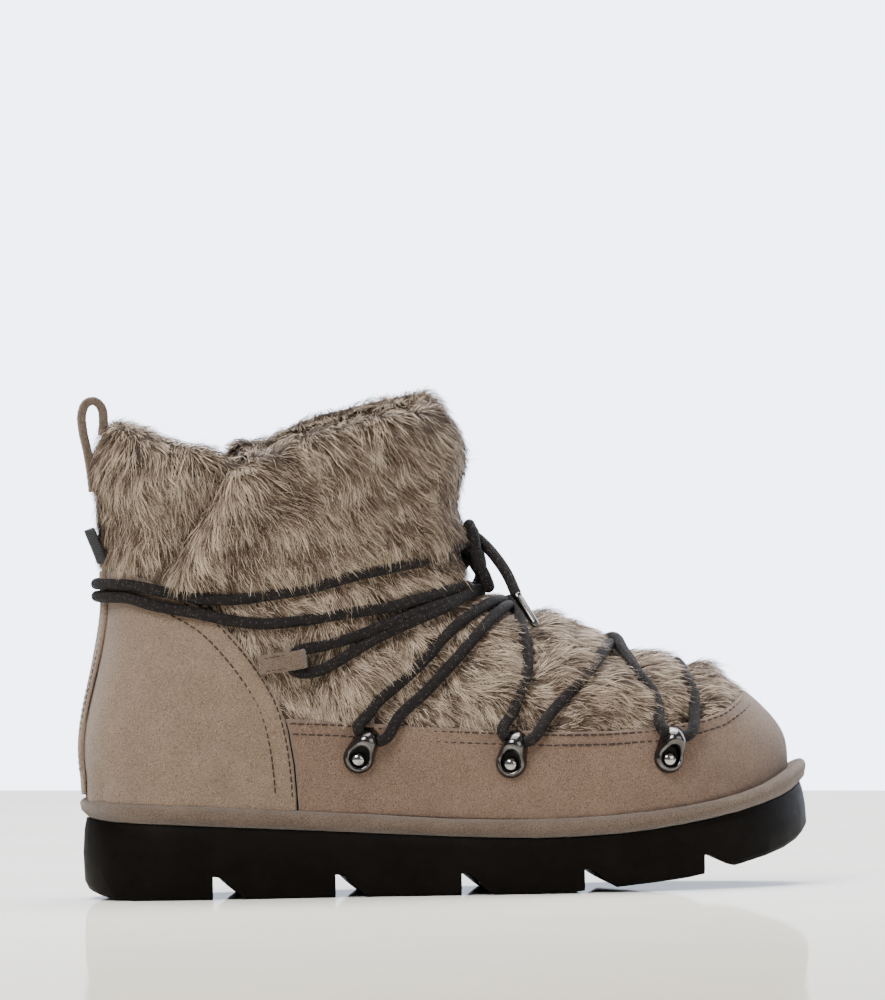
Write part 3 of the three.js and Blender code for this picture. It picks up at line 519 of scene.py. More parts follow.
def tube_parts(line, radius, sides=12):
    """Points, quads and UV of a cord with rounded ends."""
    tangent, one, two = frames(line)
    rings, along = [], []
    length = run_along(line)
    angle = np.arange(sides) * 2 * math.pi / sides
    radii = np.broadcast_to(radius, len(line))

    def ring(i, scale, shift):
        spoke = np.cos(angle)[:, None] * one[i] + np.sin(angle)[:, None] * two[i]
        rings.append(line[i] + tangent[i] * shift + spoke * radii[i] * scale)
        along.append(length[i] + shift)

    ring(0, 0.02, -0.7 * radii[0])
    ring(0, 0.7, -0.45 * radii[0])
    for i in range(len(line)):
        ring(i, 1, 0)
    ring(-1, 0.7, 0.45 * radii[-1])
    ring(-1, 0.02, 0.7 * radii[-1])
    points = np.concatenate(rings)
    count = len(rings)
    faces, uvs = [], []
    for r in range(count - 1):
        for j in range(sides):
            k = (j + 1) % sides
            faces.append((r * sides + j, r * sides + k, (r + 1) * sides + k, (r + 1) * sides + j))
            u0, u1 = j / sides, (j + 1) / sides
            v0, v1 = along[r] * MM, along[r + 1] * MM
            uvs += [(u0, v0), (u1, v0), (u1, v1), (u0, v1)]
    return points, np.array(faces), np.array(uvs)


def cord_piece(name, lines, radius=BRAID_R):
    """A piece made of one or more lengths of braided lace, with UV along them."""
    parts = [tube_parts(line, radius) for line in lines]
    mesh = joined(name, [(points, faces) for points, faces, _ in parts])
    uv = mesh.uv_layers.new(name="cord")
    uv.data.foreach_set("uv", np.concatenate([own for _, _, own in parts]).ravel())
    return put(name, mesh, finish["lace"])


# ---- the upper's surface -----------------------------------------------------------------
def merged_copy(node, name):
    """A merged copy of a CAD node's mesh, in quads where they fit."""
    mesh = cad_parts[node].data.copy()
    mesh.name = name
    work = bmesh.new()
    work.from_mesh(mesh)
    bmesh.ops.remove_doubles(work, verts=work.verts, dist=2e-5)
    bmesh.ops.join_triangles(work, faces=work.faces, angle_face_threshold=0.7, angle_shape_threshold=1.2)
    work.to_mesh(mesh)
    work.free()
    for layer in list(mesh.uv_layers):
        mesh.uv_layers.remove(layer)
    return mesh


def creased(mesh, below):
    """Keeps the sharp edges under a height, in metres, when the mesh is subdivided."""
    work = bmesh.new()
    work.from_mesh(mesh)
    layer = work.edges.layers.float.new("crease_edge")
    for edge in work.edges:
        if max(v.co.z for v in edge.verts) < below and edge.calc_face_angle(0) > 0.7:
            edge[layer] = 1.0
    work.to_mesh(mesh)
    work.free()


def alone(piece):
    """Makes a piece the only selected object."""
    bpy.ops.object.select_all(action="DESELECT")
    bpy.context.view_layer.objects.active = piece
    piece.select_set(True)


def modify(piece, kind, **settings):
    """Adds a modifier to a piece and applies it."""
    alone(piece)
    modifier = piece.modifiers.new(kind.lower(), kind)
    for key, value in settings.items():
        setattr(modifier, key, value)
    bpy.ops.object.modifier_apply(modifier=modifier.name)


def subdivided(piece, levels):
    modify(piece, "SUBSURF", levels=levels, render_levels=levels)


def held_points(piece):
    """Moves a cage out so that its subdivided surface runs through where its points were."""
    count = len(piece.data.vertices)
    start = np.zeros(count * 3, np.float32)
    piece.data.vertices.foreach_get("co", start)
    cage = start.copy()
    for _ in range(2):
        trial = linked("trial", piece.data.copy())
        trial.data.vertices.foreach_set("co", cage)
        subdivided(trial, 2)
        made = np.zeros(len(trial.data.vertices) * 3, np.float32)
        trial.data.vertices.foreach_get("co", made)
        bpy.data.objects.remove(trial)
        cage = cage + (start - made[:count * 3]) * 0.8
    piece.data.vertices.foreach_set("co", cage)
    piece.data.update()


class Form:
    """The smooth outside of the upper, for placing what lies on it."""

    def __init__(self, mesh):
        points = [v.co / MM for v in mesh.vertices]
        self.tree = BVHTree.FromPolygons(points, [list(p.vertices) for p in mesh.polygons])

    def cast(self, origin, direction, reach=900.0):
        """Where a ray meets the form, and the normal on the side that it comes from."""
        at, normal, _, _ = self.tree.ray_cast(Vector(origin), Vector(direction).normalized(), reach)
        if at is None:
            return None
        if normal.dot(Vector(direction)) > 0:
            normal = -normal
        return np.array(at), np.array(normal)

    def reach(self, origin, direction, length):
        """Like cast, but a ray that passes under the form takes the wall above it."""
        for rise in np.arange(0, 12, 1.0):
            hit = self.cast(np.array(origin, float) + (0, 0, rise), direction, length)
            if hit is not None:
                return hit[0] - (0, 0, rise), hit[1]
        return None

    def place(self, view, a, b, lift=0.0):
        """The spot seen from a view at its two coordinates, lifted off the form, and its normal."""
        looks = {
            "outer": ((a, -400, b), (0, 1, 0)),
            "inner": ((a, 400, b), (0, -1, 0)),
            "top": ((a, b, 400), (0, 0, -1)),
            "front": ((400, a, b), (-1, 0, 0)),
            "back": ((-400, a, b), (1, 0, 0)),
        }
        hit = self.cast(*looks[view]) if view == "top" else self.reach(*looks[view], 400)
        if hit is None:
            raise ValueError(f"nothing met from the {view} at {a}, {b}")
        return hit[0] + hit[1] * lift, hit[1]

    def rest(self, line, lifts):
        """Moves a line out until it lies on the form, lifted by lifts."""
        out = line.copy()
        for i, (point, lift) in enumerate(zip(line, lifts)):
            near, normal, _, _ = self.tree.find_nearest(Vector(point))
            offset = Vector(point) - near
            height = offset.length * (1 if offset.dot(normal) > 0 else -1)
            want = LACE_R - SINK + lift
            if height < want:
                out[i] = np.array(near + normal * want)
        return out


form = None


def laid(route, side):
    """Points and lifts of a route on one side of the boot."""
    sign = SIGN[side]
    points, lifts = [], []
    for view, a, b, lift in route:
        across = {"top": (a, sign * b), "front": (sign * a, b), "back": (sign * a, b)}
        first, second = across.get(view, (a, b))
        where = side if view == "side" else view
        points.append(form.place(where, first, second, LACE_R - SINK + lift)[0])
        lifts.append(lift)
    return points, lifts


def lace_line(points, lifts):
    """Smooth evenly spaced line that rests on the form."""
    line = smooth_line(points, 1.5)
    marks = run_along(np.array(points))
    share = np.interp(np.linspace(0, marks[-1], len(line)), marks, lifts)
    line = form.rest(line, share)
    return softened(line, 6)


def surface_frame(at, normal, lean):
    """Matrix from a fitting's own frame (x along, y up, z out) to its place."""
    up = Vector((math.sin(lean), 0, math.cos(lean)))
    normal = Vector(normal)
    across = up.cross(normal).normalized()
    rise = normal.cross(across)
    turn = Matrix((across, rise, normal)).transposed().to_4x4()
    return Matrix.Translation(Vector(at)) @ turn


def eyelet_frame(side, number):
    """Matrix of a lace loop, on its panel."""
    x, z, lean = EYELETS[number]
    at, normal = form.place(side, x, z, GAP + PANEL + 0.4)
    return surface_frame(at, normal, math.radians(lean))


def through(side, number, hand):
    """Last points of a lace that enters a hood from its left (-1) or right (1) hand."""
    matrix = eyelet_frame(side, number)
    hand *= -SIGN[side]
    spots = [(hand * 6.6, 10.4, 2.9), (hand * 3.2, 8.6, 2.3), (0, 7.9, 2.2)]
    return [np.array(matrix @ Vector(spot)) for spot in spots]


# ---- materials of the boot --------------------------------------------------------------
finish = {}


def make_finishes(look):
    """The boot's materials; suede takes its base, its dark clouds and its light patches."""
    taupe, guard = tuple(look.suede), tuple(look.guard)
    strands_of = tuple(look.wool_root), tuple(look.wool), tuple(look.wool_tip)
    finish["suede"] = suede("taupe_suede", taupe, (0.135, 0.091, 0.061), (0.27, 0.195, 0.14))
    # The straps take the taupe suede darkened to 0.6: painted shade.
    finish["strap"] = suede("strap_suede_painted_shade", scaled(taupe, 0.6), (0.07, 0.047, 0.033), (0.15, 0.105, 0.075))
    finish["wrap"] = suede("wrap_suede", scaled(taupe, 0.52), (0.072, 0.047, 0.032), (0.17, 0.123, 0.09))
    finish["guard"] = suede("guard_suede", guard, (0.1, 0.06, 0.04), (0.2, 0.135, 0.095))
    finish["wool"] = wool("wool", *strands_of, (0.3, 0.2, 0.14))
    finish["skin"] = skin_leather("wool_skin", (0.05, 0.031, 0.02))
    finish["lace"] = braid("braided_lace", tuple(look.lace), (0.1, 0.078, 0.07))
    finish["rubber"] = rubber("sole_rubber")
    finish["metal"] = metal("gunmetal", (0.115, 0.108, 0.104), 0.12)
    finish["rivet"] = metal("polished_rivet", (0.4, 0.385, 0.37), 0.08)
    finish["label"] = woven("label_weave", (0.06, 0.06, 0.062))
    finish["thread"] = plain("seam_thread", (0.028, 0.017, 0.012), 0.85)
    # Near-black seat seen through each lace loop's hole: painted shade.
    finish["hole"] = plain("hole_painted_shade", (0.012, 0.01, 0.009), 0.9)


# ---- stage ----------------------------------------------------------------------------------
def build_camera(view):
    """Long lens from the outer side, a little above the floor and behind the heel."""
    azimuth, elevation, roll = view.azimuth, view.elevation, view.roll
    aim = Vector((0.0022, -0.022, 0.1543))
    flat = math.cos(elevation)
    back = Vector((math.sin(azimuth) * flat, -math.cos(azimuth) * flat, math.sin(elevation)))
    level = Vector((math.cos(azimuth), math.sin(azimuth), 0))
    above = back.cross(level)
    right = level * math.cos(roll) - above * math.sin(roll)
    up = level * math.sin(roll) + above * math.cos(roll)
    data = bpy.data.cameras.new("camera")
    camera = linked("camera", data)
    data.lens = view.scale * view.distance * data.sensor_width
    data.clip_end = 60
    turn = Matrix((right, up, back)).transposed().to_4x4()
    camera.matrix_world = Matrix.Translation(aim + back * view.distance) @ turn
    bpy.context.scene.camera = camera


def floor_point(camera, across, down):
    """Where the floor is seen, at shares of the frame's width and height from its centre."""
    tall = camera.data.sensor_width / camera.data.lens
    ray = Vector((across * tall * FRAME_SHAPE, -down * tall, -1))
    ray = camera.matrix_world.to_3x3() @ ray
    start = camera.matrix_world.translation
    return start - ray * (start.z / ray.z)


def floor_finish():
    """Pale floor with soft clouds, warmer towards the front, and a thin gloss."""
    s = Shader("stage_floor")
    at = s.place()
    cloud = s.noise(at, 9, 5).over(0.3, 0.75)
    colour = s.blend(cloud, (0.73, 0.7, 0.625), (0.79, 0.765, 0.705))
    colour = s.blend(s.axis(at, 1).over(-1.0, 0.2), (0.59, 0.55, 0.455), colour)
    matt = s.node("ShaderNodeBsdfPrincipled", None,
                  {"Base Color": colour, "Roughness": 1.0, "Specular IOR Level": 0.0})
    gloss = s.node("ShaderNodeBsdfGlossy", None, {"Color": (0.95, 0.96, 0.97, 1), "Roughness": 0.04})
    mix = s.node("ShaderNodeMixShader", None, {0: 0.14, 1: matt, 2: gloss})
    s.tree.links.new(mix.socket, s.output.inputs["Surface"])
    return s.material


def wall_finish():
    """Pale wall that gives an even light of its own."""
    return Shader("stage_wall").finish({
        "Base Color": (0.8, 0.81, 0.83, 1), "Roughness": 1.0, "Specular IOR Level": 0.0,
        "Emission Color": (0.87, 0.945, 1.11, 1), "Emission Strength": 5.2,
    })


def stage_plane(name, corners, material):
    mesh = mesh_of(name, [tuple(c / MM) for c in corners], [(0, 1, 2, 3)])
    mesh.materials.append(material)
    plane = linked(name, mesh)
    return plane


def build_stage():
    """Floor that ends behind the boot, and four plain walls far off that light nothing."""
    camera = bpy.context.scene.camera
    left, right = (floor_point(camera, across, HORIZON) for across in (-0.5, 0.5))
    along = (right - left).normalized() * WALL_AWAY
    inward = Vector((along.y, -along.x, 0))
    if inward.dot(camera.matrix_world.translation - left) < 0:
        inward = -inward
    middle = (left + right) / 2
    near = inward * FLOOR_DEEP / WALL_AWAY
    corners = [middle - along, middle + along, middle + along + near, middle - along + near]
    stage_plane("stage_floor_plane", corners, floor_finish())
    wall = wall_finish()
    for name, way, wide in (("back", -inward, along), ("front", inward, along),
                            ("left", -along, inward), ("right", along, inward)):
        corners = [way + wide * side + Vector((0, 0, z)) for side, z in
                   ((-1, WALL_LOW), (1, WALL_LOW), (1, WALL_HIGH), (-1, WALL_HIGH))]
        plane = stage_plane(f"stage_wall_{name}", corners, wall)
        plane.visible_diffuse = plane.visible_shadow = False
        plane.visible_glossy = name == "back"


def area_light(name, place, aim, size, power):
    """Soft lamp that the camera doesn't see."""
    data = bpy.data.lights.new(name, "AREA")
    data.shape = "RECTANGLE"
    data.size, data.size_y = size
    data.energy = power
    lamp = linked(name, data)
    lamp.visible_camera = False
    lamp.matrix_world = Matrix.Translation(Vector(place)) @ (
        (Vector(place) - Vector(aim)).to_track_quat("Z", "Y").to_matrix().to_4x4())


def build_lights(light):
    """Soft key and fill, light from above, a wash on the floor, and a dim even surround."""
    area_light("key", (-0.9, -1.3, 1.7), (0, 0, 0.09), (0.9, 0.9), light.key)
    area_light("fill", (1.6, -1.4, 0.9), (0, 0, 0.08), (1.6, 1.2), light.fill)
    area_light("over", (0.1, 0.25, 2.0), (0, 0, 0.05), (1.6, 1.6), light.over)
    area_light("floor_wash", (0, 1.1, 2.4), (0, 0.7, 0), (2.6, 1.2), light.wash)
    world = bpy.data.worlds.new("studio")
    world.use_nodes = True
    surround = world.node_tree.nodes["Background"].inputs
    surround["Color"].default_value = (0.93, 0.95, 1, 1)
    surround["Strength"].default_value = light.ambient
    bpy.context.scene.world = world


# ---- the laces ---------------------------------------------------------------------------------
lace_lines = {}  # name -> list of lines, kept for the troughs and the wool


def out_of(side, number, hand):
    """First points of a lace that leaves a hood by its left (-1) or right (1) hand."""
    return list(reversed(through(side, number, hand)))


def route_line(route, side, head=()):
    """Line of one route on one side, after some points given as they are."""
    points, lifts = laid(route, side)
    return lace_line([*head, *points], [lifts[0]] * len(head) + lifts)


def plan_laces():
    """Lines of every joined lace, from hood to hood."""
    bar_points, bar_lifts = laid(BAR, "outer")
    back_points, back_lifts = laid(BAR[:-1], "inner")
    points = [*out_of("outer", 3, 1), *bar_points, *reversed(back_points), *through("inner", 3, 1)]
    lifts = [0, 0, 0, *bar_lifts, *reversed(back_lifts), 0, 0, 0]
    lace_lines["lace_bar"] = [lace_line(points, lifts)]
    crossings = ("lace_cross_low", CROSS_LOW, 3, 2), ("lace_cross_high", CROSS_HIGH, 2, 1)
    for name, cross, low, high in crossings:
        lines = []
        for side, other in (("outer", "inner"), ("inner", "outer")):
            start, start_lift = laid(cross["from"], side)
            rise = 0.4 if side == "inner" else 3.4
            middle, middle_lift = laid([("top", *cross["middle"], rise)], "inner")
            end, end_lift = laid(cross["to"], other)
            points = [*out_of(side, low, -1), *start, *middle, *end, *through(other, high, 1)]
            lifts = [0, 0, 0, *start_lift, *middle_lift, *end_lift, 0, 0, 0]
            lines.append(lace_line(points, lifts))
        lace_lines[name] = lines
    low = []
    for side in SIDES:
        low.append(route_line(ANKLE_UP, side, head=out_of(side, 1, -1)))
        low.append(route_line([*KEEPER_HIGH[::-1], ("side", -60.8, 93, 2.9), *KEEPER_LOW], side))
        low.append(route_line(LOW_RING, side))
    lace_lines["lace_wrap_low"] = low
    lace_lines["lace_wrap_high"] = [
        route_line([("front", 7.4, KNOT_ENTRY[side], 0.6), *HIGH_RING], side,
                   head=[np.array(KNOT) + (0.5, SIGN[side] * 1.5, 1.0 if side == "inner" else -2.0)])
        for side in SIDES
    ]


def build_joined_laces():
    for name, lines in lace_lines.items():
        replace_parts(cord_piece(f"{name}_braid", lines), name)


def knot_line():
    """Not quite two turns of cord round the crossing."""
    share = np.linspace(0, 1, 60)
    angle = share * 3.6 * math.pi
    turns = np.stack([2.2 * np.cos(angle) + 1.2, (share - 0.5) * 6.4, 3.3 * np.sin(angle)], 1)
    return softened(np.array(KNOT, float) + turns, 4)


def build_free_cords():
    """The knot, the bow's two loops, the two ends and their metal tips."""
    knot = cord_piece("knot_turns", [knot_line()], 2.1)
    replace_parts(knot, "lace_knot")
    for side in SIDES:
        for kind, route in (("bow", BOW[side]), ("end", ENDS[side])):
            line = smooth_line(route, 0.9)
            piece = cord_piece(f"lace_{kind}_{side}_braid", [line])
            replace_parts(piece, f"lace_{kind}_{side}")
            facts = {"far_end": "object", "with_pieces": [knot] if side == "outer" else []}
            if kind == "end":
                facts = {"far_end": "fitting", "with_pieces": [build_aglet(side)]}


def build_aglet(side):
    """Rolled metal tip with a crimped mouth and a closed end."""
    start = np.array(ENDS[side][-1], float)
    way = unit(np.array(TIPS[side]) - start)
    share = np.array([0, 0.02, 0.05, 0.09, 0.12, 0.16, 0.5, 0.9, 0.96, 0.985, 1])
    radius = np.array([1.75, 1.95, 1.95, 1.7, 1.7, 1.8, 1.72, 1.66, 1.5, 1.25, 0.9])
    line = start + way * (0.9 + share[:, None] * AGLET_LENGTH)
    points, faces, _ = tube_parts(line, radius, 20)
    piece = put(f"aglet_{side}_tip", mesh_of(f"aglet_{side}_tip", points, faces), finish["metal"])
    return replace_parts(piece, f"aglet_{side}")


# ---- the hide and its wool ----------------------------------------------------------------------
def waves(points, size, seed, count=16):
    """Smooth random field over points, about -1 to 1, with lumps of a size in millimetres."""
    rng = np.random.default_rng(seed)
    way = unit(rng.normal(size=(count, 3)))
    way *= 2 * math.pi / size * rng.uniform(0.6, 1.4, (count, 1))
    return np.sin(points @ way.T + rng.uniform(0, 2 * math.pi, count)).sum(1) / math.sqrt(count / 2)


def step(low, high, value):
    """0 below low, 1 above high, smooth between."""
    t = np.clip((value - low) / (high - low), 0, 1)
    return t * t * (3 - 2 * t)


def hump(value, middle, width):
    """Bell that is 1 at the middle."""
    return np.exp(-((value - middle) / width) ** 2)


def fold_distance(points):
    """Signed distance in side view from the fold; positive in front of it."""
    line = np.array(FOLD, float)
    best = np.full(len(points), 1e9)
    sign = np.ones(len(points))
    for a, b in zip(line[:-1], line[1:]):
        ab = b - a
        rel = points[:, [0, 2]] - a
        t = np.clip(rel @ ab / (ab @ ab), 0, 1)
        away = rel - t[:, None] * ab
        distance = np.linalg.norm(away, axis=1)
        cross = ab[0] * rel[:, 1] - ab[1] * rel[:, 0]
        nearer = distance < best
        best = np.where(nearer, distance, best)
        sign = np.where(nearer, np.where(cross > 0, 1, -1), sign)
    return best * sign


def lace_distance(points, reach):
    """Distance from each point to the nearest joined lace's middle line, at most reach."""
    lines = np.concatenate([line for lines in lace_lines.values() for line in lines])
    tree = KDTree(len(lines))
    for i, p in enumerate(lines):
        tree.insert(p, i)
    tree.balance()
    return np.minimum([tree.find(p)[2] for p in points], reach)


def covered(points, margin=0.0):
    """True where a suede panel or the sole hides the hide, margin in millimetres inside."""
    x, z = points[:, 0], points[:, 2]
    counter = z < np.interp(x, *zip(*COUNTER_EDGE)) - margin
    guard = (x > -61) & (z < np.interp(x, *zip(*GUARD_EDGE)) - margin)
    stay = (x < -100) & (z < 129 - margin) & (abs(points[:, 1]) < 8.6)
    return counter | guard | stay


def hide_points(hide):
    """Points in millimetres and normals of the hide."""
    count = len(hide.data.vertices)
    points = np.zeros(count * 3)
    normals = np.zeros(count * 3)
    hide.data.vertices.foreach_get("co", points)
    hide.data.vertices.foreach_get("normal", normals)
    return points.reshape(-1, 3) / MM, normals.reshape(-1, 3)


def build_hide():
    """The sheepskin: the last's form with its fold, its lumps and the troughs of the lace."""
    hide = bpy.data.objects["upper_hide"]
    points, normals = hide_points(hide)
    free = ~covered(points, 3) & is_outside(hide)
    lumps = waves(points, 34, 3) * 0.9
    fold = fold_distance(points)
    reach = step(118, 130, points[:, 2]) * step(8, 20, abs(points[:, 1]))
    roll = 6.4 * step(-2.5, 2.5, fold) * np.exp(-np.maximum(fold, 0) / 17)
    roll = roll - 4.2 * hump(fold, -6, 5) - 1.2 * hump(fold, 18, 6)
    near = lace_distance(points, 16)
    trough = 1.2 * hump(near, 9.5, 4) - 1.9 * hump(near, 0, 3.8)
    points += normals * (free * (lumps + reach * roll + trough))[:, None]
    x, y, z = points.T
    rim = np.interp(x, [-80, -68, -58, -38, -18, 0, 12], [164, 174, 180, 187, 190, 191, 190])
    high = np.clip((z - rim + 20) / 20, 0, 1.2) * step(-86, -66, x) * (1 - step(0, 11, x))
    points[:, 2] += high * (3.4 * step(0, 12, y) - 2.2 * step(0, 12, -y))
    hide.data.vertices.foreach_set("co", (points * MM).astype(np.float32).ravel())
    hide.data.update()


def is_outside(hide):
    """For each vertex, whether it looks out of the boot and not across its inside."""
    points, normals = hide_points(hide)
    mesh = hide.data
    tree = BVHTree.FromPolygons([Vector(p) for p in points], [list(f.vertices) for f in mesh.polygons])
    out = np.zeros(len(points), bool)
    for i, (p, n) in enumerate(zip(points, normals)):
        out[i] = tree.ray_cast(Vector(p + n * 1.5), Vector(n), 110)[0] is None
    return out


def roots_on(hide, density, seed, keep, most):
    """Random roots with normals on the triangles that keep accepts, per square millimetre."""
    mesh = hide.data
    mesh.calc_loop_triangles()
    points, normals = hide_points(hide)
    tris = np.zeros(len(mesh.loop_triangles) * 3, np.int32)
    mesh.loop_triangles.foreach_get("vertices", tris)
    tris = tris.reshape(-1, 3)
    a, b, c = points[tris[:, 0]], points[tris[:, 1]], points[tris[:, 2]]
    area = np.linalg.norm(np.cross(b - a, c - a), axis=1) / 2
    area = area * keep(tris, (a + b + c) / 3)
    rng = np.random.default_rng(seed)
    count = min(most, int(area.sum() * density))
    pick = rng.choice(len(tris), count, p=area / area.sum())
    r = np.sqrt(rng.random(count))
    s = rng.random(count)
    weight = np.stack([1 - r, r * (1 - s), r * s], 1)
    roots = (points[tris[pick]] * weight[:, :, None]).sum(1)
    normal = (normals[tris[pick]] * weight[:, :, None]).sum(1)
    return roots, unit(normal)


def flow_at(points, normals):
    """Direction the wool is combed: down and forward on the shaft, forward on the vamp."""
    x, z = points[:, 0], points[:, 2]
    shaft = step(104, 124, z)
    forward = np.interp(x, [-130, -100, -75, -40, -10, 12], [4, 10, 24, 40, 44, 40])
    waist = np.interp(x, [-60, -20, 10, 40, 80, 120], [12, 24, 44, 62, 78, 84])
    angle = np.radians(forward * shaft + waist * (1 - shaft) + waves(points, 46, 5) * 11)
    way = np.stack([np.sin(angle), np.zeros(len(x)), -np.cos(angle)], 1)
    radial = np.stack([normals[:, 0] + 0.35, normals[:, 1] * 1.5, np.zeros(len(x))], 1)
    lip = step(0.25, 0.85, normals[:, 2]) * step(150, 165, z)
    way = way * (1 - lip)[:, None] + radial * lip[:, None] * 0.8
    way += waves(points, 13, 8)[:, None] * np.array([0.16, 0, 0.1])
    way += waves(points + 500, 13, 9)[:, None] * np.array([0, 0.22, 0.08])
    way -= normals * (way * normals).sum(1)[:, None]
    return way / np.maximum(np.linalg.norm(way, axis=1), 1e-6)[:, None]


STRAND_STEPS = np.array([0.0, 0.36, 0.72, 1.0])  # shares of a strand's length at its four rungs
STRAND_WIDTHS = np.array([1.0, 0.92, 0.62, 0.0])  # shares of its width there
STRAND_FACES = np.array([(0, 1, 3), (0, 3, 2), (2, 3, 5), (2, 5, 4), (4, 5, 6)])
CLUMP = 9  # strands that lean together


def clumps(roots, rng):
    """The strand that leads each strand's clump, and the clump's number."""
    count = len(roots)
    leads = max(1, count // CLUMP)
    centres = KDTree(leads)
    chosen = rng.choice(count, leads, replace=False)
    for k, i in enumerate(chosen):
        centres.insert(roots[i], k)
    centres.balance()
    clump = np.array([centres.find(p)[1] for p in roots])
    return chosen[clump], clump


def turned_towards(one, two, angle):
    """Directions one turned by an angle towards directions two."""
    return one * np.cos(angle)[:, None] + two * np.sin(angle)[:, None]


def strand_faces(points, normals):
    """Triangles of every strand, each strand facing out of the hide."""
    faces = np.arange(len(points))[:, None, None] * 7 + STRAND_FACES
    facing = np.cross(points[:, 1] - points[:, 0], points[:, 3] - points[:, 0])
    inward = (facing * normals).sum(1) < 0
    faces[inward] = faces[inward][:, :, ::-1]
    return faces.reshape(-1, 3)


def paint_strands(mesh, one_tone, clump_tone_and_shade):
    """The strand colours: share along it, its own tone, its clump's tone with the painted light and shade
    added.
    """
    along = np.tile(STRAND_STEPS[[0, 0, 1, 1, 2, 2, 3]], len(one_tone))
    own, shared = np.repeat(one_tone, 7), np.repeat(np.clip(clump_tone_and_shade, -0.5, 1.4), 7)
    values = np.stack([along, own, shared, np.ones(len(along))], 1)
    layer = mesh.color_attributes.new("strand", "FLOAT_COLOR", "POINT")
    layer.data.foreach_set("color", values.astype(np.float32).ravel())


def strands(name, roots, normals, length, lift, width, seed, tone=0.0):
    """Mesh of tapered ribbons. length, lift and tone are arrays or numbers, width a number. tone is added to
    each clump's tone; for the outer wool it holds the painted light and shade of the fold and rim.
    """
    rng = np.random.default_rng(seed)
    count = len(roots)
    flow = flow_at(roots, normals)
    turn = np.radians(rng.normal(0, 15, count) + waves(roots, 7, seed + 1) * 9)
    flow = turned_towards(flow, np.cross(normals, flow), turn)
    size = length * rng.uniform(0.62, 1.12, count)
    rise = lift * rng.uniform(0.55, 1.4, count)
    leader, clump = clumps(roots, rng)
    # Random clump tone plus tone, which holds painted light and shade.
    clump_tone_and_shade = rng.random(clump.max() + 1)[clump] * 0.6 + 0.2 + waves(roots, 8, seed + 2) * 0.2 + tone
    curl = rng.normal(0, 0.09, (count, 3))
    lines = []
    for t in STRAND_STEPS:
        run = size * (t * 0.95)
        height = size * rise * (1.25 * t - 0.75 * t * t)
        line = roots + flow * run[:, None] + normals * height[:, None] + curl * (size * t * t)[:, None]
        pull = 0.42 * t * t
        target = line[leader] + (roots - roots[leader]) * 0.25
        lines.append(line * (1 - pull) + target * pull)
    roll = np.radians(rng.uniform(-48, 48, count))
    across = turned_towards(np.cross(normals, flow), normals, roll)
    half = width * rng.uniform(0.7, 1.25, count) / 2
    face_normal = np.cross(flow, across)
    face_normal *= np.sign((face_normal * normals).sum(1))[:, None]
    points = np.empty((count, 7, 3))
    for k in range(3):
        edge = across * (half * STRAND_WIDTHS[k])[:, None]
        points[:, 2 * k] = lines[k] - edge
        points[:, 2 * k + 1] = lines[k] + edge
    points[:, 6] = lines[3]
    mesh = mesh_of(name, points.reshape(-1, 3), strand_faces(points, normals))
    paint_strands(mesh, rng.random(count), clump_tone_and_shade)
    mesh.polygons.foreach_set("use_smooth", [True] * len(mesh.polygons))
    shade = np.repeat(unit(normals * 0.7 + face_normal * 0.3 + flow * 0.12), 7, axis=0)
    mesh.normals_split_custom_set_from_vertices([tuple(n) for n in shade])
    return put(name, mesh, finish["wool"], smooth=False)


def wool_painted_light_and_shade(roots, lip):
    """Painted light and shade: darker in the fold's valley, where brown roots show and shade is painted, and
    behind its roll (painted shade); lighter on the roll and the rim (painted highlight).
    """
    fold = fold_distance(roots)
    tone = 0.5 * hump(fold, 1, 4) - 0.8 * hump(fold, -6, 5) - 0.6 * hump(fold, 14, 6)
    return step(118, 130, roots[:, 2]) * tone + 0.35 * lip


def grow_wool(look):
    """The wool in pieces: rear shaft, front shaft, waist, vamp, and the lining."""
    hide = bpy.data.objects["upper_hide"]
    outside = is_outside(hide)

    def shaft(p):
        return p[:, 2] >= np.where(p[:, 0] < -62, 119, 127)

    # name: most strands, added tone, where it grows
    regions = {
        "wool_shaft_rear": (28000, 0.1, lambda p: shaft(p) & (p[:, 0] < -62)),
        "wool_shaft_front": (37000, -0.14, lambda p: shaft(p) & (p[:, 0] >= -62)),
        "wool_waist": (34000, 0.16, lambda p: ~shaft(p) & (p[:, 0] < 24)),
        "wool_vamp": (36000, 0.14, lambda p: ~shaft(p) & (p[:, 0] >= 24)),
    }
    for number, (name, (most, shade, inside)) in enumerate(regions.items()):
        def keep(tris, middle, inside=inside):
            return outside[tris].all(1) & ~covered(middle, 0.5) & inside(middle)

        roots, normals = roots_on(hide, look.density, 20 + number, keep, most)
        near = lace_distance(roots, 14)
        free = near > 1.6
        roots, normals, near = roots[free], normals[free], near[free]
        lip = step(0.3, 0.9, normals[:, 2]) * step(150, 165, roots[:, 2])
        length = look.length / MM * (0.5 + 0.5 * step(2, 9, near)) * (1 - 0.5 * lip)
        length = length * (0.3 + 0.7 * step(0, 11, guard_gap(roots)))
        lift = 0.34 + 0.3 * lip + 0.1 * step(0.6, 0.95, normals[:, 2]) * step(20, 30, roots[:, 0])
        # Painted light and shade of the fold and rim, plus the region's added tone.
        tone = wool_painted_light_and_shade(roots, lip) + shade
        piece = strands(name, roots, normals, length, lift, look.width / MM, 40 + number, tone)
        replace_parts(piece, "upper")

    def lining(tris, middle):
        return ~outside[tris].all(1) & (middle[:, 2] > 70)

    roots, normals = roots_on(hide, look.density * 0.5, 31, lining, 22000)
    rim = step(0.1, 0.8, normals[:, 2]) * step(140, 160, roots[:, 2])
    piece = strands("wool_lining", roots, normals, 6 + 1.5 * rim, 0.5, look.width * 1.3 / MM, 50, 0.75)
    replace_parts(piece, "upper")


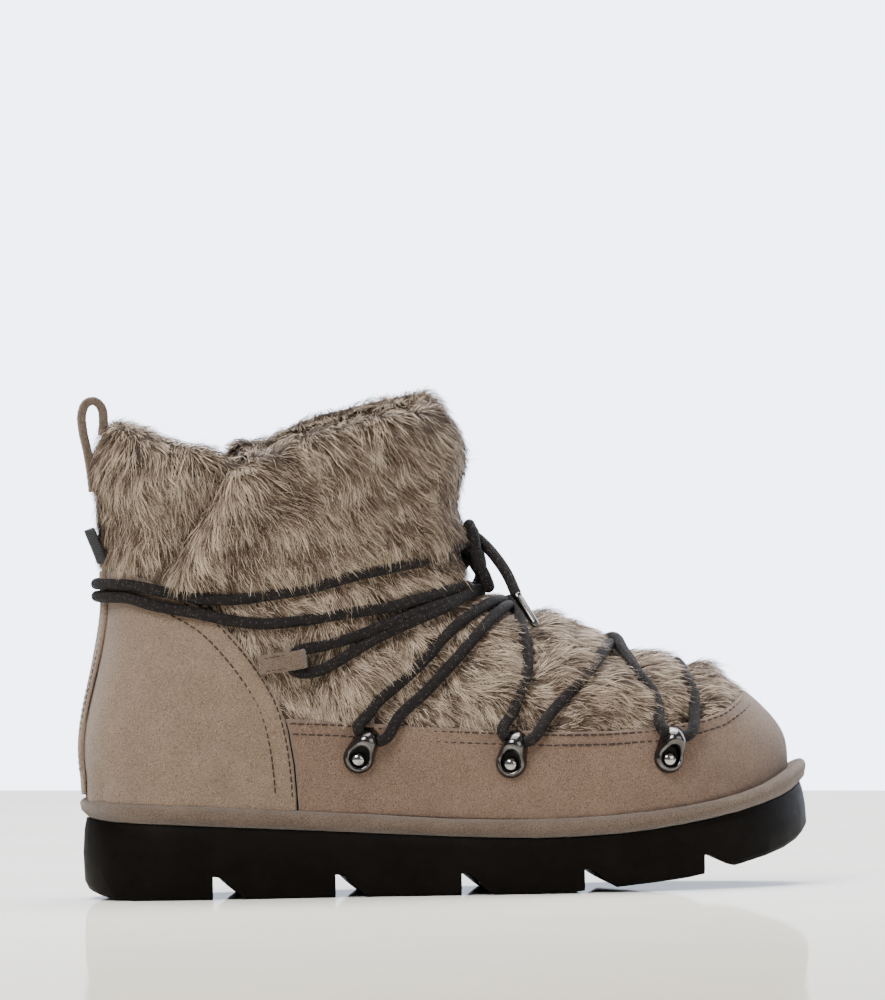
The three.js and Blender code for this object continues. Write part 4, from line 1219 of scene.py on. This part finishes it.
def guard_gap(points):
    """How far above the nearest suede edge a root stands, in side view."""
    x, z = points[:, 0], points[:, 2]
    guard = np.where(x > -61, z - np.interp(x, *zip(*GUARD_EDGE)), 99)
    counter = z - np.interp(x, *zip(*COUNTER_EDGE))
    return np.minimum(guard, np.where(x < -56, counter, 99))


# ---- suede panels -----------------------------------------------------------------------------
def eased(count, edge=0.02):
    """Shares from 0 to 1, close together at both ends."""
    middle = np.linspace(edge, 1 - edge, count)
    lead = edge * np.array([0, 0.08, 0.22, 0.45, 0.7])
    return np.concatenate([lead, middle, 1 - lead[::-1]])


def crowned(shares, span, round_off=1.3):
    """Height share near an edge for shares of a span in millimetres."""
    gap = np.minimum(shares, 1 - shares) * span
    t = np.clip(gap / round_off, 0, 1)
    return np.sqrt(1 - (1 - t) ** 2)


def wrap_top(x):
    """The sole wrap's top edge at a place along the boot."""
    return float(np.interp(x, *zip(*WRAP_TOP)))


def panel_piece(name, hits, normals, span_u, span_v, us, vs, material, base=GAP, thick=PANEL):
    """Closed suede panel from a grid of hits on the form, with rounded edges."""
    rows, columns = hits.shape[:2]
    height = np.minimum(crowned(vs, span_v)[:, None], crowned(us, span_u)[None, :])
    height = base + 0.15 + (thick - 0.15) * height
    swell = waves(hits.reshape(-1, 3), 38, 17).reshape(rows, columns) * 0.25
    outer = hits + normals * (height + swell * (height > base + 1))[..., None]
    inner = hits + normals * base
    return put(name, slab(name, outer, inner), material)


def edge_x(z):
    """The counter's front edge at a height."""
    xs, zs = zip(*COUNTER_EDGE)
    return float(np.interp(z, zs[::-1], xs[::-1]))


def hit_grid(us, vs, spot):
    """Hits on the form and their normals, as grids, from a function of two shares."""
    rows = [[spot(u, v) for u in us] for v in vs]
    return [np.array([[hit[part] for hit in row] for row in rows]) for part in (0, 1)]


def lowered(hit, z):
    """A hit moved straight up or down to a height."""
    return np.array((hit[0][0], hit[0][1], z)), hit[1]


def counter_hit(share, z):
    """A spot of the counter, from the outer front edge (0) round the heel to the inner (1)."""
    centre = np.array([-70.0, 0.0])
    front = edge_x(min(z, COUNTER_TOP))
    start = form.place("outer", front, z)[0]
    end = form.place("inner", front, z)[0]
    first = math.atan2(-(start[1] - centre[1]), start[0] - centre[0])
    last = 2 * math.pi - math.atan2(end[1] - centre[1], end[0] - centre[0])
    angle = first + (last - first) * share
    way = np.array([math.cos(angle), -math.sin(angle), 0])
    origin = np.array([*centre, z]) + way * 300
    return form.reach(origin, -way, 300)


def counter_spot(share, height):
    """A spot of the counter, its height from the wrap (0) to the top edge (1)."""
    z = 40.0
    for _ in range(3):
        x = counter_hit(share, z)[0][0]
        low = wrap_top(x) - WRAP_LAP
        z = low + (COUNTER_TOP - low) * height
    aim = max(z, low + 7, BACK_LOW if x < -100 else 0)
    return lowered(counter_hit(share, aim), z)


def build_counter():
    us, vs = eased(72, 0.012), eased(34, 0.02)
    hits, normals = hit_grid(us, vs, counter_spot)
    piece = panel_piece("heel_counter_suede", hits, normals, 240, 90, us, vs, finish["suede"])
    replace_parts(piece, "heel_counter")


def toe_reach(x):
    """How far the toe's suede and sole stand out beyond the plain form."""
    return 2.0 * step(108, 140, x)


def guard_hit(share, height):
    """A spot of the mudguard: share from the outer rear end (0) round the toe to the inner (1),
    height from the wrap (0) to its top edge (1)."""
    turn_x, turn_y, straight = 66.0, 2.0, 0.36
    z, low = 52.0, 30.0
    hit = None
    for _ in range(8):
        aim = max(z, low + 5)
        if share < straight or share > 1 - straight:
            side = "outer" if share < 0.5 else "inner"
            part = share / straight if share < 0.5 else (1 - share) / straight
            rear = edge_x(z) + 0.5
            hit = form.place(side, rear + (turn_x - rear) * part, aim)
        else:
            angle = (share - straight) / (1 - 2 * straight) * math.pi
            way = np.array([math.sin(angle), -math.cos(angle), 0])
            hit = form.reach(np.array([turn_x, turn_y, aim]) + way * 300, -way, 300) or hit
        x = hit[0][0]
        low, top = wrap_top(x) - WRAP_LAP, float(np.interp(x, *zip(*GUARD_EDGE)))
        z = 0.45 * z + 0.55 * (low + (top - low) * height)
    return lowered(hit, z) if z < low + 5 else hit


def build_mudguard():
    us, vs = eased(110, 0.01), eased(20, 0.03)
    hits, normals = hit_grid(us, vs, guard_hit)
    hits[..., 0] += toe_reach(hits[..., 0])
    piece = panel_piece("mudguard_suede", hits, normals, 460, 38, us, vs, finish["guard"])
    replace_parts(piece, "mudguard")


def stay_spot(share, height):
    """A spot of the back stay, across it and up it."""
    wide, low, top = 16.8, 41.5, 129
    z = low + (top - low) * height
    return lowered(form.place("back", wide * (share - 0.5), max(z, BACK_LOW)), z)


def build_stay():
    us, vs = eased(10, 0.06), eased(34, 0.012)
    hits, normals = hit_grid(us, vs, stay_spot)
    piece = panel_piece("back_stay_suede", hits, normals, 17, 88, us, vs, finish["suede"],
                        2 * GAP + PANEL, STAY)
    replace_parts(piece, "back_stay")


def stitch_parts(points, normals, long=2.1, gap=1.0, radius=0.36):
    """Short rounded threads laid end to end along a line on a surface."""
    line = evened(np.asarray(points), 0.4)
    length = run_along(line)
    marks = np.linspace(0, 1, len(points))
    count = int(length[-1] / (long + gap))
    parts = []
    for k in range(count):
        start = k * (long + gap)
        at = np.linspace(start, start + long, 4)
        own = np.stack([np.interp(at, length, line[:, i]) for i in range(3)], 1)
        share = (start + long / 2) / length[-1]
        normal = np.array([np.interp(share, marks, np.asarray(normals)[:, i]) for i in range(3)])
        own += normal[None] * np.array([-0.22, 0.05, 0.05, -0.22])[:, None]
        parts.append(tube_parts(own, radius, 5)[:2])
    return parts


def seam_from_hits(hits, lift):
    """Points over hits on the form, and their normals."""
    points = [p + n * lift for p, n in hits]
    return points, [n for _, n in hits]


def counter_seam(distance, side):
    """Spots along the counter's front edge, a distance behind it."""
    edge = smooth_line([(x, 0, z) for x, z in COUNTER_EDGE[1:-1]], 2.5)[:, [0, 2]]
    way = unit(np.gradient(edge, axis=0))
    inner = edge + np.stack([way[:, 1], -way[:, 0]], 1) * distance
    inner = inner[(inner[:, 1] > wrap_top(-62) + 2) & (inner[:, 1] < 126)]
    return [form.place(side, x, z) for x, z in inner]


def build_seams():
    """Double rows along the counter and the mudguard, and one row down each side of the stay."""
    parts = []
    top = GAP + PANEL
    for side in SIDES:
        for distance in (1.6, 8.2):
            parts += stitch_parts(*seam_from_hits(counter_seam(distance, side), top))
    for distance in (1.5, 5.2):
        hits = []
        for share in np.linspace(0.004, 0.996, 190):
            at, normal = guard_hit(share, 1 - distance / 33)
            hits.append((at + (toe_reach(at[0]), 0, 0), normal))
        parts += stitch_parts(*seam_from_hits(hits, top))
    for y in (-6.6, 6.6):
        hits = [form.place("back", y, z) for z in np.linspace(45, 126, 34)]
        parts += stitch_parts(*seam_from_hits(hits, 2 * GAP + PANEL + STAY - 0.15), 1.6, 1.0, 0.2)
    put("seam_stitches", joined("seam_stitches", parts), finish["thread"])


# ---- small suede pieces ------------------------------------------------------------------------
def strap_piece(name, line, half, across, thick, material):
    """Flat strap: a line, half its width, the direction across it and its thickness."""
    line = np.asarray(line, float)
    across = np.asarray(across, float)
    normal = unit(np.cross(unit(np.gradient(line, axis=0)), across))
    us = eased(7, 0.12)
    base = line[:, None, :] + (us * 2 - 1)[None, :, None] * half * across
    height = thick / 2 * (0.35 + 0.65 * crowned(us, half * 2, 0.9))[None, :, None]
    mesh = slab(name, base + normal[:, None, :] * height, base - normal[:, None, :] * height)
    return put(name, mesh, material)


def build_pull_loop():
    line = smooth_line([
        (-133.8, 0, 160), (-134.6, 0, 168), (-135.8, 0, 176), (-137.4, 0, 184), (-137.7, 0, 190.5),
        (-135.8, 0, 194.8), (-132.6, 0, 195.6), (-129.9, 0, 193), (-129.2, 0, 188), (-129.8, 0, 182),
    ], 0.8)
    piece = strap_piece("pull_loop_suede", line, 5.4, (0, 1, 0), 3.2, finish["strap"])
    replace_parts(piece, "pull_loop")
    seams = []
    out = np.cross(unit(np.gradient(line, axis=0)), (0, -1, 0))
    for y in (-4.2, 4.2):
        for sign in (1, -1):
            seams += stitch_parts(line + out * 1.45 * sign + (0, y, 0), out * sign, 1.5, 0.9, 0.2)
    put("pull_loop_stitches", joined("pull_loop_stitches", seams), finish["thread"])


def build_label():
    line = smooth_line([(-135.6, 0, 145.2), (-134.6, 0, 142.4), (-132.7, 0, 137.6), (-130.7, 0, 132.2)], 0.7)
    piece = strap_piece("label_tab_weave", line, 9, (0, 1, 0), 3.8, finish["label"])
    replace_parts(piece, "label_tab")


def build_keepers():
    """Suede strap folded round the lace, stitched down behind it."""
    for side in SIDES:
        at, normal = form.place(side, KEEPER["x"], KEEPER["z"], GAP)
        matrix = surface_frame(at, normal, math.radians(KEEPER["lean"]))
        sign = -SIGN[side]
        fold = smooth_line([(sign * x, 0, z) for x, z in KEEPER_FOLD], 0.8)
        world = np.array([matrix @ Vector(p) for p in fold])
        across = np.array((matrix.to_3x3() @ Vector((0, 1, 0))))
        piece = strap_piece(f"keeper_{side}_suede", world, 3.7, across, 1.5, finish["strap"])
        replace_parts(piece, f"keeper_{side}")
        seams = []
        for y in (-2.6, 2.6):
            row = [(sign * x, y, 8.9 + 0.05 * x) for x in np.linspace(-7, 3, 8)]
            row = np.array([matrix @ Vector(p) for p in row])
            seams += stitch_parts(row, np.tile(np.array(normal), (8, 1)), 1.4, 0.9, 0.2)
        put(f"keeper_{side}_stitches", joined(f"keeper_{side}_stitches", seams), finish["thread"])


# ---- sole ---------------------------------------------------------------------------------------
def rounded(piece, width, segments, corner, smooth):
    """Bevels a piece's corners and shades it smooth, angles in degrees."""
    modify(piece, "BEVEL", width=width, segments=segments, limit_method="ANGLE",
           angle_limit=math.radians(corner))
    alone(piece)
    bpy.ops.object.shade_smooth_by_angle(angle=math.radians(smooth))


def build_sole():
    """The suede wrap and the rubber outsole, with the toe's reach added to both."""
    name = "midsole_wrap_suede"
    wrap = put(name, merged_copy("midsole_wrap", name), finish["wrap"])
    for v in wrap.data.vertices:
        v.co.x += float(toe_reach(v.co.x / MM)) * MM
    rounded(wrap, 0.0016, 4, 40, 60)
    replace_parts(wrap, "midsole_wrap")
    sole = put("outsole_rubber", merged_copy("outsole", "outsole_rubber"), finish["rubber"])
    for v in sole.data.vertices:
        x, z = v.co.x / MM, v.co.z / MM
        belly = 1.2 * step(122, 141, x) * (1 - step(24, 36, z)) * step(8, 16, z)
        v.co.x += float(toe_reach(x) + belly) * MM
    rounded(sole, 0.0004, 2, 38, 34)
    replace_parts(sole, "outsole")


def build_insole():
    insole = put("insole_fleece", merged_copy("insole", "insole_fleece"), finish["skin"])
    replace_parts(insole, "insole")


# ---- lace loops ------------------------------------------------------------------------------------
def egg(angle, low, high, rise):
    """Outline round a circle at the origin and a smaller one above it, as radii."""
    best = np.zeros(len(angle))
    for t in np.linspace(0, 1, 16):
        centre, radius = rise * t, low + (high - low) * t
        inside = radius ** 2 - (centre * np.cos(angle)) ** 2
        reach = centre * np.sin(angle) + np.sqrt(np.maximum(inside, 0))
        best = np.maximum(best, np.where(inside > 0, reach, 0))
    return best


def model_loop():
    """One lace loop round its rivet: a dished seat whose rim rises to a hood above."""
    count = 56
    angle = np.linspace(0, 2 * math.pi, count, endpoint=False)
    hole = egg(angle, 3.8, 2.9, 1.9)
    rim = egg(angle, 6.1, 5.0, 8.0)
    mouth = 2.4 + 4.3 * np.maximum(np.sin(angle), 0) ** 1.6
    # From the hole to the rim: share of the way out, share of the mouth's height.
    section = [(-0.02, 0.12), (0.0, 0.3), (0.0, 0.8), (0.03, 0.95), (0.1, 1.04), (0.24, 1.14),
               (0.42, 1.12), (0.6, 0.98), (0.76, 0.76), (0.9, 0.45), (0.98, 0.22), (1.0, 0.06), (0.97, 0.0)]
    rings = []
    for out, high in section:
        radius = hole + (rim - hole) * out
        rings.append(np.stack([radius * np.cos(angle), radius * np.sin(angle), mouth * high], 1))
    faces = []
    for r in range(len(rings) - 1):
        for j in range(count):
            k = (j + 1) % count
            faces.append((r * count + j, (r + 1) * count + j, (r + 1) * count + k, r * count + k))
    return linked("loop_cup", mesh_of("loop_cup", np.concatenate(rings), faces))


def model_rivet():
    """The rivet's low dome."""
    bpy.ops.object.select_all(action="DESELECT")
    bpy.ops.mesh.primitive_uv_sphere_add(segments=28, ring_count=14, radius=2.9 * MM,
                                         location=(0, -0.6 * MM, 1.2 * MM), scale=(1, 1, 0.75))
    bpy.ops.object.transform_apply(location=True, rotation=True, scale=True)
    return bpy.context.active_object


def build_eyelets():
    """A loop, its rivet and the dark seat under it, six times; the seat's near-black is painted shade in the
    hole.
    """
    loop, rivet = model_loop(), model_rivet()
    angle = np.linspace(0, 2 * math.pi, 32, endpoint=False)
    radius = egg(angle, 4.1, 3.2, 1.9)
    seat = [Vector((r * math.cos(a), r * math.sin(a), 0.25)) for r, a in zip(radius, angle)]
    scale = Matrix.Scale(MM, 4)
    for side in SIDES:
        for number in EYELETS:
            name = f"eyelet_{side}_{number}"
            matrix = eyelet_frame(side, number)
            world = scale @ matrix @ scale.inverted()
            body, dome = loop.data.copy(), rivet.data.copy()
            body.transform(world)
            dome.transform(world)
            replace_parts(put(f"{name}_loop", body, finish["metal"]), name)
            put(f"{name}_rivet", dome, finish["rivet"])
            # Near-black seat under the hole: painted shade.
            disc = mesh_of(f"{name}_seat", [matrix @ p for p in seat], [tuple(range(len(seat)))])
            put(f"{name}_seat", disc, finish["hole"])
    for made in (loop, rivet):
        bpy.data.objects.remove(made)


# ---- settings a user may change ------------------------------------------------------------------
class BootView(bpy.types.PropertyGroup):
    azimuth: bpy.props.FloatProperty(name="Azimuth", description="Camera's turn from the outer side",
                                     default=math.radians(-4), subtype="ANGLE")
    elevation: bpy.props.FloatProperty(name="Elevation", description="Camera's height angle",
                                       default=math.radians(0.9), subtype="ANGLE")
    roll: bpy.props.FloatProperty(name="Roll", description="Camera's roll",
                                  default=math.radians(1.1), subtype="ANGLE")
    distance: bpy.props.FloatProperty(name="Distance", description="From camera to boot",
                                      default=6.0, unit="LENGTH")
    scale: bpy.props.FloatProperty(name="Scale", description="Frame height that a metre covers", default=2.55)


class BootLight(bpy.types.PropertyGroup):
    key: bpy.props.FloatProperty(name="Key", description="Soft main light",
                                 default=60, subtype="POWER")
    fill: bpy.props.FloatProperty(name="Fill", description="Soft light from the toe side",
                                  default=17, subtype="POWER")
    over: bpy.props.FloatProperty(name="Overhead", description="Light from above",
                                  default=44, subtype="POWER")
    wash: bpy.props.FloatProperty(name="Floor wash", description="Light on the floor",
                                  default=95, subtype="POWER")
    ambient: bpy.props.FloatProperty(name="Ambient", description="Even light from all round", default=0.25)


class BootLook(bpy.types.PropertyGroup):
    length: bpy.props.FloatProperty(name="Wool length", description="Length of the longest strands",
                                    default=0.0125, unit="LENGTH")
    width: bpy.props.FloatProperty(name="Strand width", description="Width of a strand at its root",
                                   default=0.00024, unit="LENGTH")
    density: bpy.props.FloatProperty(name="Density", description="Strands on a square millimetre",
                                     default=2.6)
    wool_root: bpy.props.FloatVectorProperty(name="Wool root", description="Colour at the skin",
                                             default=(0.035, 0.02, 0.012), subtype="COLOR")
    wool: bpy.props.FloatVectorProperty(name="Wool", description="Colour of the strand's middle",
                                        default=(0.12, 0.08, 0.052), subtype="COLOR")
    wool_tip: bpy.props.FloatVectorProperty(name="Wool tip", description="Colour of the tips",
                                            default=(0.7, 0.57, 0.43), subtype="COLOR")
    suede: bpy.props.FloatVectorProperty(name="Suede", description="Counter, straps and wrap",
                                         default=(0.172, 0.116, 0.077), subtype="COLOR")
    guard: bpy.props.FloatVectorProperty(name="Mudguard", description="Suede of the mudguard",
                                         default=(0.14, 0.087, 0.057), subtype="COLOR")
    lace: bpy.props.FloatVectorProperty(name="Lace", description="Braided cord",
                                        default=(0.0105, 0.0075, 0.007), subtype="COLOR")


# ---- operators ---------------------------------------------------------------------------------------
class BOOT_OT_camera(bpy.types.Operator):
    """Set the camera"""

    bl_idname = "boot.camera"
    bl_label = "Camera"

    def execute(self, context):
        build_camera(context.scene.boot_view)
        return {"FINISHED"}


class BOOT_OT_form(bpy.types.Operator):
    """Prepare the finishes, the smooth form of the upper and the lines of the lace"""

    bl_idname = "boot.form"
    bl_label = "Form"

    def execute(self, context):
        global form
        make_finishes(context.scene.boot_look)
        hide = put("upper_hide", merged_copy("upper", "upper_hide"), finish["skin"])
        creased(hide.data, 0.06)
        held_points(hide)
        subdivided(hide, 2)
        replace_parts(hide, "upper")
        form = Form(hide.data)
        plan_laces()
        return {"FINISHED"}


class BOOT_OT_laces(bpy.types.Operator):
    """Make the knot, the bow, the ends and the laced lengths of cord"""

    bl_idname = "boot.laces"
    bl_label = "Laces"

    def execute(self, context):
        build_free_cords()
        build_joined_laces()
        return {"FINISHED"}


class BOOT_OT_stage(bpy.types.Operator):
    """Set the floor, the wall and the lights"""

    bl_idname = "boot.stage"
    bl_label = "Stage"

    def execute(self, context):
        build_stage()
        build_lights(context.scene.boot_light)
        return {"FINISHED"}


class BOOT_OT_sole(bpy.types.Operator):
    """Make the rubber outsole, the suede wrap and the insole"""

    bl_idname = "boot.sole"
    bl_label = "Sole"

    def execute(self, context):
        build_sole()
        build_insole()
        return {"FINISHED"}


class BOOT_OT_panels(bpy.types.Operator):
    """Make the suede panels and their seams"""

    bl_idname = "boot.panels"
    bl_label = "Suede panels"

    def execute(self, context):
        build_counter()
        build_mudguard()
        build_stay()
        build_seams()
        return {"FINISHED"}


class BOOT_OT_trims(bpy.types.Operator):
    """Make the pull loop, the label and the lace keepers"""

    bl_idname = "boot.trims"
    bl_label = "Trims"

    def execute(self, context):
        build_pull_loop()
        build_label()
        build_keepers()
        return {"FINISHED"}


class BOOT_OT_eyelets(bpy.types.Operator):
    """Make the metal lace loops"""

    bl_idname = "boot.eyelets"
    bl_label = "Lace loops"

    def execute(self, context):
        build_eyelets()
        return {"FINISHED"}


class BOOT_OT_wool(bpy.types.Operator):
    """Shape the hide and grow its wool"""

    bl_idname = "boot.wool"
    bl_label = "Wool"

    def execute(self, context):
        build_hide()
        grow_wool(context.scene.boot_look)
        return {"FINISHED"}


class BOOT_PT_panel(bpy.types.Panel):
    """Lists the steps that build the boot"""

    bl_idname = "BOOT_PT_panel"
    bl_label = "Sheepskin Boot"
    bl_space_type = "VIEW_3D"
    bl_region_type = "UI"
    bl_category = "Boot"

    def draw(self, context):
        for step_class in STEPS:
            self.layout.operator(step_class.bl_idname)
        for group in (context.scene.boot_view, context.scene.boot_light, context.scene.boot_look):
            box = self.layout.box()
            for name in group.__annotations__:
                box.prop(group, name)


STEPS = (BOOT_OT_camera, BOOT_OT_form, BOOT_OT_laces, BOOT_OT_stage, BOOT_OT_sole, BOOT_OT_panels,
         BOOT_OT_trims, BOOT_OT_eyelets, BOOT_OT_wool)
CLASSES = (BootView, BootLight, BootLook, *STEPS, BOOT_PT_panel)


def register():
    for item in CLASSES:
        bpy.utils.register_class(item)
    bpy.types.Scene.boot_view = bpy.props.PointerProperty(type=BootView)
    bpy.types.Scene.boot_light = bpy.props.PointerProperty(type=BootLight)
    bpy.types.Scene.boot_look = bpy.props.PointerProperty(type=BootLook)


def unregister():
    for item in reversed(CLASSES):
        bpy.utils.unregister_class(item)
    del bpy.types.Scene.boot_view, bpy.types.Scene.boot_light, bpy.types.Scene.boot_look


def main():
    register()
    for item in STEPS:
        group, name = item.bl_idname.split(".")
        getattr(getattr(bpy.ops, group), name)()


if __name__ == "__main__":
    main()
